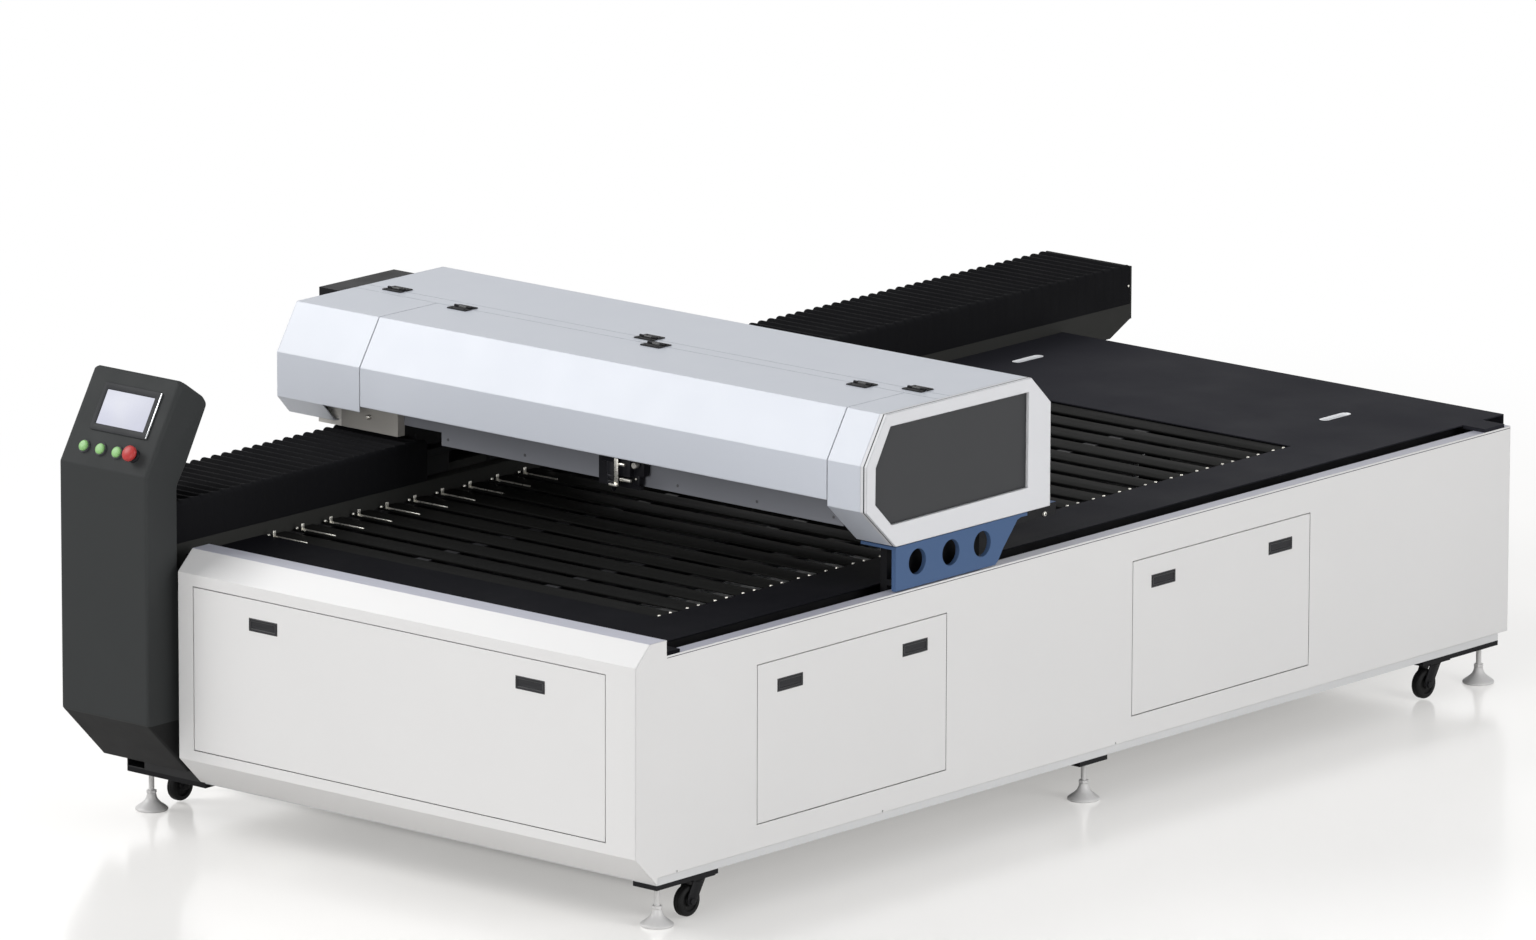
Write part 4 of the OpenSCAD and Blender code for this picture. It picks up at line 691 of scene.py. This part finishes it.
def bellowsSkin(start, end):
    # a rounded arch carried along the rails; its skin sinks by a saw tooth that rises steeply and
    # falls gently, by a share of it that goes from the left foot over both ends of the top to the
    # right foot; a smooth inner arch closes it
    b = bellows
    count = int((end - start) // b["pitch"])
    step = (end - start) / count
    tooth = np.array([(0, 0.0), (b["steep"] * 0.8, 0.93), (b["steep"], 1.0),
                      (b["steep"] + 0.08, 0.99), (0.62, 0.55), (0.97, 0.03)])
    along = (start + (np.arange(count)[:, None] + tooth[:, 0]) * step).ravel()
    sink = np.tile(1 - tooth[:, 1], count) * b["depth"]
    along, sink = np.append(along, end), np.append(sink, b["depth"])
    quarter = np.linspace(0, np.pi / 2, 6)
    arcs = [np.stack([-np.cos(quarter), np.sin(quarter)], -1),
            np.stack([np.sin(quarter), np.cos(quarter)], -1)]
    middles = [(b["left"] + b["round"], b["top"] - b["round"]),
               (b["right"] - b["round"], b["top"] - b["round"])]
    arch = [np.array([(b["left"], b["low"])])]
    lean = [np.array([(-1.0, 0.0)])]
    for arc, middle in zip(arcs, middles):
        arch.append(arc * b["round"] + middle)
        lean.append(arc)
    arch.append(np.array([(b["right"], b["low"])]))
    lean.append(np.array([(1.0, 0.0)]))
    arch, lean = np.concatenate(arch), np.concatenate(lean)
    low, topLeft, topRight, far = b["shares"]
    left, rise = lean[:, 0] < 0.01, lean[:, 1]
    share = np.where(left, low + (topLeft - low) * rise, far + (topRight - far) * rise)
    outer = arch[None] - lean[None] * share[None, :, None] * sink[:, None, None]
    innerArch = arch - lean * (share * b["depth"] + b["wall"])[:, None]
    innerArch[[0, -1], 1] = b["low"]
    inner = np.broadcast_to(innerArch[::-1], outer.shape)
    loop = np.concatenate([outer, inner], 1)
    y = np.broadcast_to(along[:, None], loop.shape[:2])
    grid = np.stack([loop[..., 0], y, loop[..., 1]], -1)
    return shapeOf(grid, caps=True)


def stretchEvenly(piece, start, end):
    # reads the points of the piece and leaves them as they are
    co = np.empty(len(piece.data.vertices) * 3, np.float32)
    piece.data.vertices.foreach_get("co", co)


for key, ends, bodies in (("front", bellows["front"], ("root", "gantry")),
                          ("rear", bellows["rear"], ("gantry", "root"))):
    middleX, middleZ = (bellows["left"] + bellows["right"]) / 2, bellows["top"]
    span = [toFrame((middleX, y, middleZ)) for y in ends]
    skin = addPiece("bellows_" + key + "_skin", bellowsSkin(*ends), "bellowsCloth", None,
                    ("bellows_" + key,), 28, (*bodies, *span))
    stretchEvenly(skin, *ends)
print("stage: bellows")


slats = dict(count=24, first=354.0, pitch=100.0, width=70.0, left=-1501.7, right=-230.0,
             low=655.0, top=660.0, screwX=-253.0, screwIn=15.0)
clip = dict(x=-1476.7, top=676.0, end=-1366.7, depth=(1.0, 11.0), pin=2.0, tab=3.0, foot=14.0,
            sheet=1.6, studIn=8.0)
studProfile = [(0, 0), (4, 0), (4, 2.2), (3.2, 4), (1.6, 4.8), (0, 5)]
slatScrewProfile = [(0, 0), (4, 0), (4, 2.4), (3.4, 3.6), (2.0, 3.9), (1.9, 2.2), (0, 2.2)]


def slatOffsets():
    # where each slat starts, front to rear
    y = slats["first"] + np.arange(slats["count"]) * slats["pitch"]
    return np.stack([0 * y, y, 0 * y], -1)


def slatClip():
    # an upright tab with a folded foot, a long pin beside the slat's edge, and a domed stud
    c, top = clip, slats["top"]
    near, far = c["depth"]
    middle = (near + far) / 2
    pin = rod(c["pin"], c["tab"], c["end"] - c["x"], 1.5, 12, alongX,
              (c["x"], middle, top + c["pin"] + 0.1))
    tab = roundedBox((c["x"], near, top), (c["x"] + c["tab"], far, c["top"]), 1.2)
    foot = roundedBox((c["x"], near, top), (c["x"] + c["foot"], far, top + c["sheet"]), 0.7)
    stud = turnedProfile(studProfile, (slats["left"] + c["studIn"], middle, top), steps=16)
    return joined([pin, tab, foot, stud])


def screwPair():
    # two screws near the slat's edges
    screw = turnedProfile(slatScrewProfile, (slats["screwX"], 0, slats["top"]), steps=16)
    edges = (slats["screwIn"], slats["width"] - slats["screwIn"])
    return joined([turned(screw, standingAxes, (0, y, 0)) for y in edges])


places = slatOffsets()
bar = roundedBox((slats["left"], 0, slats["low"]),
                 (slats["right"], slats["width"], slats["top"]), 1.6, 3)
addPiece("slat_bars", repeated(bar, places), "slatPaint", "root", ("slats",))
addPiece("slat_clips", repeated(slatClip(), places), "brightZinc", "root")
addPiece("slat_screws", repeated(screwPair(), places), "brightZinc", "root")
print("stage: slats")


feet = dict(x=(-40.0, -1660.0), y=(120.0, 1681.0, 3237.0), pad=40.0, stem=7.0, top=98.0,
            thread=2.5, threadLow=42.5, nut=13.8, nutHeight=11.0, lockNut=12.8, lockNutZ=(42, 49))


def footProfile():
    # a domed pad with a rubber lip, then a threaded stem whose radius goes in and out
    end = feet["top"] - feet["nutHeight"]
    z = np.arange(feet["threadLow"], end - 1, feet["thread"] / 2)
    ridge = np.where(np.arange(len(z)) % 2, feet["stem"], feet["stem"] - 0.7)
    pad = [(0, 0), (feet["pad"] - 1.5, 0), (feet["pad"], 1.5), (feet["pad"], 4.5),
           (feet["pad"] - 0.8, 6.0), (feet["pad"] - 4, 8.5), (30, 13), (23, 18), (17.5, 23.4),
           (14.5, 28), (12.5, 33), (11.4, 38), (11, 41), (feet["stem"], 42)]
    return pad + list(zip(ridge, z)) + [(feet["stem"], end), (0, end)]


places = [(x, y, 0) for x in feet["x"] for y in feet["y"]]
foot = turnedProfile(footProfile(), (0, 0, 0), steps=32)
lockNut = hexHead(feet["lockNut"], *feet["lockNutZ"], (0, 0, 0))
nut = hexHead(feet["nut"], feet["top"] - feet["nutHeight"], feet["top"], (0, 0, 0))
addPiece("foot_pads", repeated(joined([foot, lockNut]), places), "footPaint", "root",
         ("levelling_feet",))
addPiece("foot_nuts", repeated(nut, places), "zinc", "root")

castor = dict(x=dict(right=-38.0, left=-1662.0), y=dict(front=250.0, rear=3039.0), trail=28.0,
              wheel=37.5, width=25.0, wheelZ=40.5, top=94.0, cheek=14.0, sheet=3.0, axle=5.0,
              nut=8.5, nutHeight=5.0)


def wheelProfile():
    # hub, sunk web and a tyre with round shoulders and two grooves, from one face to the other
    half, r = castor["width"] / 2, castor["wheel"]
    side = [(5.3, half), (11, half), (12, half - 1), (12.6, half - 5), (24, half - 5),
            (25, half - 1.2), (26, half - 0.4), (33.5, half - 0.8), (r - 1.4, half - 3.2),
            (r - 0.2, half - 5.8), (r, half - 8), (r - 0.9, half - 8.4), (r - 0.9, half - 9.4),
            (r, half - 9.8)]
    return side + [(a, -h) for a, h in side[::-1]] + [(5.3, half)]


def forkShape(x, y):
    # two cheeks cut from sheet, the axle between them with a nut on each side, and a turned race
    c = castor
    wheelY, z = y - c["trail"], c["wheelZ"]
    top = c["top"] - 1
    outline = roundedCorners([(wheelY - 13, z - 10), (wheelY + 13, z - 10), (y + 20, top - 5),
                              (y + 20, top), (y - 20, top), (wheelY - 13, z + 12)],
                             (9, 9, 3, 0.5, 0.5, 10))
    parts = []
    for side in (-1, 1):
        a, b = sorted((x + side * c["cheek"], x + side * (c["cheek"] + c["sheet"])))
        parts.append(filletedPlate(outline, a, b, 0.7, alongX, 2))
        parts.append(hexHead(c["nut"], 0, c["nutHeight"],
                             (x + side * (c["cheek"] + c["sheet"]), wheelY, z), alongX * side))
    parts.append(rod(c["axle"], -c["cheek"], c["cheek"], 0.3, 20, alongX, (x, wheelY, z)))
    race = [(0, c["top"] - 10), (17, c["top"] - 10), (22, c["top"] - 9), (25.6, c["top"] - 5.5),
            (26, c["top"] - 3.5), (25.2, c["top"] - 3), (25.2, c["top"] - 0.6), (0, c["top"] - 0.6)]
    parts.append(turnedProfile(race, (x, y, 0), steps=40))
    return joined(parts)


for side, x in castor["x"].items():
    for end, y in castor["y"].items():
        place = end + "_" + side
        addPiece("castor_fork_" + place, forkShape(x, y), "blackPaint", "fork_" + place,
                 ("fork_" + place,))
        hub = (x, y - castor["trail"], castor["wheelZ"])
        wheel = turnedProfile(wheelProfile(), hub, alongX, 48)
        addPiece("castor_wheel_" + place, wheel, "tyreRubber", "wheel_" + place,
                 ("wheel_" + place,))
print("stage: feet and castors")


column = dict(left=-1761.0, right=-1475.0, front=-84.0, neck=883.0, lean=30.0, headLength=250.0,
              edge=7.0, headRound=28.0)
lean = math.radians(column["lean"])
headAxes = np.array(((1, 0, 0), (0, math.sin(lean), math.cos(lean)),
                     (0, -math.cos(lean), math.sin(lean))))   # across, up the face, out of the face


def onHead(x, up, out=0.0):
    # a point on the leaning face: up it from the neck, and out of it
    return np.array((x, column["front"], column["neck"])) + headAxes[1] * up + headAxes[2] * out


def columnShell():
    # the column's side outline carried across it: both ends shrink along a quarter circle, and near
    # them nothing rises over a larger circle, which rounds the head's top corners
    topY, topZ = onHead(0, column["headLength"])[1:]
    corners = [(56, 136), (76, 136), (76, 599.5), (24, 599.5), (24, 843), (59, 897),
               (topY + 90, topZ - 72), (topY + 76, topZ - 52), (topY, topZ),
               (-84, 883), (-84, 276)]
    outline = roundedCorners(corners, (0, 0, 0, 0, 30, 30, 16, 22, 9, 12, 9))
    # short steps along the head's top
    steps = np.concatenate([np.linspace(a, b, 12, endpoint=False) if min(a[1], b[1]) > topZ - 90
                            and np.hypot(*(b - a)) > 10 else a[None]
                            for a, b in zip(outline, np.roll(outline, -1, 0))])
    edge, big = column["edge"], column["headRound"]
    angle = np.linspace(0, np.pi / 2, 6)
    inset = np.concatenate([(1 - np.sin(angle)) * edge, np.zeros(7)])
    depth = np.concatenate([(1 - np.cos(angle)) * edge, np.linspace(edge, big, 8)[1:]])
    flat = steps - inset[:, None, None] * outlineNormals(steps)
    limit = topZ + 0.9 - big + np.sqrt(np.maximum(big ** 2 - (big - depth) ** 2, 0))
    flat[..., 1] = np.minimum(flat[..., 1], limit[:, None])
    x = np.concatenate([column["left"] + depth, (column["right"] - depth)[::-1]])
    flat = np.concatenate([flat, flat[::-1]])
    x = np.broadcast_to(x[:, None, None], (*flat.shape[:2], 1))
    return turned(shapeOf(np.concatenate([flat, x], -1), caps=True), alongX, (0, 0, 0))


addPiece("column_shell", columnShell(), "columnPaint", "root", ("control_column",),
         30)

buttons = dict(x=(-1697.0, -1643.0, -1589.0), up=46.0)
capProfile = [(0, -3.5), (12.6, -3.5), (13.2, -3), (13.4, 4.5), (13.3, 6.8), (12.7, 8.4),
              (11.2, 9.5), (8.0, 10.2), (4.0, 10.45), (0, 10.5)]
bezelProfile = [(13.6, 0), (13.6, 4.4), (13.9, 4.9), (15.0, 5.0), (15.8, 4.4), (16.6, 1.4),
                (16.8, 0), (13.6, 0)]
places = [onHead(x, buttons["up"]) for x in buttons["x"]]
for k, place in enumerate(places):
    key = "button_%d" % (k + 1)
    addPiece(key + "_cap", turnedProfile(capProfile, place, headAxes, 40), "buttonGreen", key,
             (key,))
bezels = joined([turnedProfile(bezelProfile, place, headAxes, 40) for place in places])
addPiece("button_bezels", bezels, "bezelChrome", "root")

stop = dict(x=-1535.0, up=46.0, flutes=18, fluteDepth=1.1, fluteBand=(14.8, 25.8))
stopProfile = [(0, -7.5), (8, -7.5), (8, 12.5), (9, 13.6), (17.5, 14.6), (19.3, 16.2), (20, 18.6),
               (20, 21.5), (19.3, 24), (17.4, 26), (15.0, 27.2), (10, 28.9), (5, 29.7), (0, 30)]
stopCollar = [(8.3, 0), (8.3, 6.4), (9, 7), (13.2, 7), (14.6, 6.2), (16.4, 2), (17, 0), (8.3, 0)]
place = onHead(stop["x"], stop["up"])
mushroom = turnedProfile(stopProfile, place, headAxes, 72, stop["flutes"], stop["fluteDepth"],
                         stop["fluteBand"])
addPiece("stop_mushroom", mushroom, "stopRed", "emergency_stop", ("emergency_stop",))
addPiece("stop_collar", turnedProfile(stopCollar, place, headAxes, 40), "headBlack", "root")

screen = dict(x=-1611.0, up=150.0, glass=np.array((77.0, 43.5)), low=(15.0, 17.0),
              high=(19.0, 17.0), pane=(0.5, 2.0), paneGap=0.1, trim=(3.5, 2.0, 1.5),
              trimHigh=(0.4, -2.0, 5.0))


def rectangleStack(rows, steps=5):
    # a skin over rounded rectangles, each given as low and high corner, radius and height
    loops = []
    for low, high, radius, out in rows:
        corners = [low, (high[0], low[1]), high, (low[0], high[1])]
        loops.append(raised(roundedCorners(corners, radius, steps), out))
    return shapeOf(np.stack(loops))


def screenBezel():
    # rounded rectangles that step in from the outer rim, over the top and down to the glass
    half = screen["glass"]
    low, high = -half - screen["low"], half + screen["high"]
    outer = [(low + g, high - g, r, out) for g, r, out in
             ((0, 7, 0), (0, 7, 2.2), (0.5, 6.5, 2.9), (1.5, 6, 3.2))]
    inner = [(-half - g, half + g, r, out) for g, r, out in
             ((2.0, 4, 3.2), (1.2, 3, 2.9), (0.2, 2.2, 2.2), (0, 2, 1.4), (0, 2, 0))]
    return rectangleStack(outer + inner + outer[:1], 6)


def screenPane():
    # a thin slab a small gap inside the glass opening
    half = screen["glass"] - screen["paneGap"]
    back, front = screen["pane"]
    return roundedBox((*-half, back), (*half, front), 0.4)


def screenTrim():
    # the bright strip along the housing's right edge
    w, h = screen["glass"] + screen["high"]
    a, b = screen["trim"], screen["trimHigh"]
    return roundedBox((w - a[0], a[1] - h, a[2]), (w + b[0], h + b[1], b[2]), 1.2)


place = onHead(screen["x"], screen["up"])
addPiece("screen_bezel", turned(screenBezel(), headAxes, place), "screenBlack", "root", ("screen",),
         50)
addPiece("screen_pane", turned(screenPane(), headAxes, place), "litGlass", "root")
addPiece("screen_trim", turned(screenTrim(), headAxes, place), "steel", "root")
print("stage: control column")


latch = dict(half=np.array((44.7, 14.7)), pocket=np.array((39.0, 9.0)), room=0.5, crown=0.5,
             thick=2.4, dish=1.5, dishX=1.15, dishZ=-0.3, dishHalf=0.55)


def latchBezel():
    # rounded rectangles: the flange's rim, its crown, and the edge that turns into the pocket
    size, pocket = latch["half"], latch["pocket"]
    rows = [(size, 3.5, 0.02), (size, 3.5, 1.0), (size - 0.7, 3, 1.7), (pocket + 1.6, 3, 1.8),
            (pocket + 0.5, 2.4, 1.0), (pocket, 2, -1.5), (size, 3.5, 0.02)]
    return rectangleStack([(-half, half, radius, out) for half, radius, out in rows])


def latchPaddle():
    # a plate with a crowned edge, whose face is dished towards its lower edge, where the fingers go
    w, h = latch["pocket"] - latch["room"]
    u = np.linspace(-1, 1, 41)[None, :]
    v = np.linspace(-1, 1, 25)[:, None]
    hollow = (np.clip(1 - (u * latch["dishX"]) ** 4, 0, 1)
              * np.clip(1 - ((v - latch["dishZ"]) / latch["dishHalf"]) ** 2, 0, 1))
    crown = latch["crown"] * np.clip(1 - u ** 8, 0, 1) * np.clip(1 - v ** 8, 0, 1)
    face = np.stack([u * w + 0 * v, v * h + 0 * u, crown - latch["dish"] * hollow], -1)
    back = face.copy()
    back[..., 2] = -latch["thick"]
    rows, columns = face.shape[:2]
    flat = gridFaces(rows, columns, False)
    faces = [flat, flat[:, ::-1] + rows * columns]
    rim = np.concatenate([np.arange(columns), np.arange(1, rows) * columns + columns - 1,
                          (rows - 1) * columns + np.arange(columns - 2, -1, -1),
                          np.arange(rows - 2, 0, -1) * columns])
    nextRim = np.roll(rim, -1)
    faces.append(np.stack([rim, rim + rows * columns, nextRim + rows * columns, nextRim], -1))
    return np.concatenate([face.reshape(-1, 3), back.reshape(-1, 3)]), faces


latchPlaces = {}
for key, x in zip(("left", "right"), latches["front"]):
    latchPlaces["front_paddle_" + key] = (x, 0, latches["frontZ"]), towardsFront, "front_door"
for k, y in enumerate(latches["side"]):
    door = "side_door_front" if k < 2 else "side_door_rear"
    latchPlaces["side_paddle_%d" % (k + 1)] = (0, y, latches["sideZ"]), alongX, door
for key, (place, axes, door) in latchPlaces.items():
    addPiece(key + "_plate", turned(latchPaddle(), axes, place), "latchPlastic", key, (key,),
             30)
    addPiece(key + "_bezel", turned(latchBezel(), axes, place), "latchPlastic", door)
print("stage: latches")


lidHinge = dict(frontX=(-1528.0, -900.0, -248.0), rearX=(-1789.0, -965.5, -118.0), frontY=1095.0,
                rearY=1140.0, top=1095.0, half=31.0, knuckle=3.8, lift=0.1, sheet=2.5,
                lidReach=27.0, fixedReach=21.0, screwX=20.0, lidScrews=18.0, fixedScrews=14.0,
                screw=2.6, screwHeight=1.2)


# each kind of screw or bolt: radius, height and places
screws = dict(
    face=(3.6, 2.0, [(x, 876, z) for z, xs in ((826, (-1380, -1130, -640, -390, -150)),
                                               (885, (-1380, -150))) for x in xs]),
    stand=(6.2, 4.5, [(-1638, 872, 843)]), wing=(4.5, 4.5, [(-1771, 876, 835)]),
    arm=(6.6, 5.0, [(-45, 1529, 735)]), heel=(3.0, 2.2, [(-748, 848, 830)]),
    end=(3.2, 1.6, [(-1502, 3629, 742)]))


def screwHeads(radius, height, places, axes=standingAxes):
    # at each place, a low dome with a sunk middle, turned from its profile
    shares = [(0, 0), (1, 0), (1, 0.35), (0.85, 0.8), (0.55, 1), (0.42, 1), (0.36, 0.45), (0, 0.45)]
    profile = [(radius * r, height * z) for r, z in shares]
    return repeated(turnedProfile(profile, (0, 0, 0), axes, 16), places)


def leafPlates(xs, y, direction, reach):
    # rounded plates that cover the leaves, from the knuckles to their far edge
    h = lidHinge
    near, far = sorted((y + direction * h["knuckle"], y + direction * reach))
    outline = roundedCorners([(-h["half"], near), (h["half"], near), (h["half"], far),
                              (-h["half"], far)], 3.0, 4)
    low = h["top"] + h["lift"]
    plate = filletedPlate(outline, low, low + h["sheet"], 0.8, standingAxes, 2)
    return repeated(plate, [(x, 0, 0) for x in xs])


def leafScrews(xs, y, out):
    # two screws on each leaf, out from the hinge's line
    h = lidHinge
    places = [(x + side * h["screwX"], y + out, h["top"] + h["sheet"])
              for x in xs for side in (-1, 1)]
    return screwHeads(h["screw"], h["screwHeight"], places)


h = lidHinge
for lid, way in (("front", -1), ("rear", 1)):
    xs, y = h[lid + "X"], h[lid + "Y"]
    moving = joined([leafPlates(xs, y, way, h["lidReach"]),
                     leafScrews(xs, y, way * h["lidScrews"])])
    addPiece(lid + "_lid_leaves", moving, "blackPaint", lid + "_lid")
    fixed = joined([leafPlates(xs, y, -way, h["fixedReach"]),
                    leafScrews(xs, y, -way * h["fixedScrews"])])
    addPiece(lid + "_fixed_leaves", fixed, "blackPaint", "gantry")

laser = dict(left=-1947.0, right=-347.0, y=1290.0, z=960.0, radius=40.0, neck=26.6, boreIn=100.0,
             boreLength=1400.0, bore=9.0, pipeIn=31.0, pipe=5.0, pipeTop=22.0, pipeLift=18.0)


def laserGlass():
    # closed glass jacket: a long profile with drawn-in ends
    a, b, r, n = laser["left"], laser["right"], laser["radius"], laser["neck"]
    profile = [(n, a + 58), (r - 6, a + 59), (r - 1.5, a + 62), (r, a + 68), (r, b - 68),
               (r - 1.5, b - 62), (r - 6, b - 59), (n, b - 58), (0, b - 58)]
    return turnedProfile([(0, a + 58)] + profile, (0, laser["y"], laser["z"]), alongX, 40)


def laserEnds():
    # metal heads with two rims and a groove between them, and a socket for a cooling pipe on each
    a, b, n = laser["left"], laser["right"], laser["neck"]
    parts = []
    for start, way in ((a, 1), (b, -1)):
        profile = [(0, start), (n - 4, start), (n, start + way * 3), (n, start + way * 18),
                   (n - 5, start + way * 22), (n - 5, start + way * 40), (n, start + way * 44),
                   (n, start + way * 58), (0, start + way * 58)]
        parts.append(turnedProfile(profile, (0, laser["y"], laser["z"]), alongX, 40))
        socket = (start + way * laser["pipeIn"], laser["y"], laser["z"] + laser["pipeLift"])
        parts.append(rod(laser["pipe"], 0, laser["pipeTop"], 1, 16, standingAxes, socket))
    return joined(parts)


addPiece("laser_glass", laserGlass(), "tubeGlass", "gantry", ("laser_tube",))
addPiece("laser_heads", laserEnds(), "aluminium", "gantry")
r, end = laser["bore"], laser["boreLength"]
bore = turnedProfile([(0, 0), (r, 0), (r, end), (0, end)],
                     (laser["left"] + laser["boreIn"], laser["y"], laser["z"]), alongX, 20)
addPiece("laser_bore", bore, "innerGlass", "gantry")

addPiece("face_plate_screws", screwHeads(*screws["face"], towardsFront), "softMetal", "gantry")
bolts = joined([screwHeads(*screws[key], towardsFront) for key in ("stand", "wing")])
addPiece("left_bracket_bolts", bolts, "brightZinc", "gantry")
addPiece("arm_bolt", screwHeads(*screws["arm"], alongX), "brightZinc", "gantry")


head = dict(x=-812.0, y=841.0, steps=40)
# boxes as low corner, high corner and radius: the mirror box before the carriage plate, and the
# clamp, arm and heel to its right
headBoxes = dict(
    mirror=((-837.4, 824, 867.6), (-786.6, 862, 923.4), 3),
    clamp=((-797, 830, 836), (-752, 862, 886), 3),
    arm=((-758, 846, 838), (-722, 866, 892), 2.5),
    heel=((-758, 848, 812), (-738, 866, 842), 2.5))
# the folded steel strip beside the nozzle with its toe, and a link
metalBoxes = dict(
    strip=((-793, 819.5, 816), (-781, 823, 880), 1.0),
    toe=((-806, 814, 812), (-781, 823, 817), 1.2),
    link=((-779, 822, 826), (-745, 830, 833), 1.5))
knob = dict(radius=8.0, length=14.0, place=(-738, 842, 868), flutes=16, depth=0.8,
            band=(0.5, 13.5))
fitting = dict(radius=4.5, length=24.0, place=(-788, 826, 866))


def headMetal():
    # the boxes with a knurled knob, a gas fitting that points right, and a screw in the heel
    strip, toe, link = (roundedBox(*box) for box in metalBoxes.values())
    wheel = rod(knob["radius"], 0, knob["length"], 1, 64, towardsFront, knob["place"],
                flutes=knob["flutes"], fluteDepth=knob["depth"], fluteBand=knob["band"])
    gas = rod(fitting["radius"], 0, fitting["length"], 1, 16, alongX, fitting["place"])
    return joined([strip, toe, wheel, gas, link, screwHeads(*screws["heel"], towardsFront)])


addPiece("head_block", joined([roundedBox(*box) for box in headBoxes.values()]), "headBlack",
         "cutting_head", ("laser_head",))
sleeveProfile = [(12.3, 825), (16.2, 825), (17.1, 826), (17.1, 834), (16.2, 835), (16.2, 840),
                 (17.1, 841), (17.1, 868), (12.3, 868), (12.3, 825)]
place = (head["x"], head["y"], 0)
addPiece("head_sleeve", turnedProfile(sleeveProfile, place, steps=head["steps"]), "headBlack",
         "cutting_head")
addPiece("head_metal", headMetal(), "brightZinc", "cutting_head")
nozzleProfile = [(0, 793), (3.0, 793), (4.2, 794), (11.3, 811.5), (12, 813), (15.4, 813),
                 (16, 813.8), (16, 815.6), (15, 816.4), (15, 817.8), (16, 818.6), (16, 820.2),
                 (15.4, 821), (12, 821), (12, 869), (0, 869)]
addPiece("focus_nozzle", turnedProfile(nozzleProfile, place, steps=head["steps"]), "headBlack",
         "focus", ("focus_tube",))
print("stage: gantry details and cutting head")


seam = dict(low=(-0.6, 109, 648.6), high=(0.25, 3299, 650.4), radius=0.2)
strip = roundedBox(seam["low"], seam["high"], seam["radius"], 1)
addPiece("ledge_seam", strip, "seamShadow", "root")

cups = dict(x=(-368.0, -1367.0), y=3060.0, half=41.0, radius=14.4, top=664.2, floor=658.5)


def fingerCup():
    # slot outlines, each row closer to the middle line or deeper: rim, wall, round foot and floor
    rows = [(0.0, 653.0), (0.0, cups["top"] - 0.6), (0.5, cups["top"]), (1.6, cups["top"]),
            (2.3, cups["top"] - 0.7), (2.8, cups["floor"] + 1.5), (4.2, cups["floor"]),
            (cups["radius"] - 0.3, cups["floor"])]
    return shapeOf(np.stack([raised(stadium(cups["half"], cups["radius"] - g), z)
                             for g, z in rows]), caps=True)


addPiece("finger_cups", repeated(fingerCup(), [(x, cups["y"], 0) for x in cups["x"]]), "cupWhite",
         "root")


spigots = dict(x=(-560.0, -1140.0), z=350.0, y=3306.0, radius=73.0, rises=range(-60, 61, 15),
               slope=8, blade=[(0, -9), (2, -10.5), (24, 7.5), (22, 9)], flange=84.0,
               flangeY=3302.0, screw=4.0, screwHeight=2.4)


def spigotLouvres(x):
    # slanting blades across the spigot, each as long as the round pipe is wide at its height
    blades = []
    for rise in spigots["rises"]:
        reach = math.sqrt(spigots["radius"] ** 2 - (abs(rise) + spigots["slope"]) ** 2)
        outline = np.array(spigots["blade"]) + (spigots["y"], spigots["z"] + rise)
        blades.append(filletedPlate(outline, x - reach, x + reach, 0.4, alongX, 1))
    return joined(blades)


def flangeScrews():
    # six screws on a circle round each spigot
    angles = np.radians(np.arange(6) * 60 + 30)
    reach = spigots["flange"]
    places = [(x + reach * math.cos(a), spigots["flangeY"], spigots["z"] + reach * math.sin(a))
              for x in spigots["x"] for a in angles]
    return screwHeads(spigots["screw"], spigots["screwHeight"], places, towardsRear)


addPiece("spigot_louvres", joined([spigotLouvres(x) for x in spigots["x"]]), "blackPaint", "root")
addPiece("spigot_screws", flangeScrews(), "zinc", "root")
addPiece("end_plate_screw", screwHeads(*screws["end"], alongX), "brightZinc", "root")
print("stage: cabinet details")
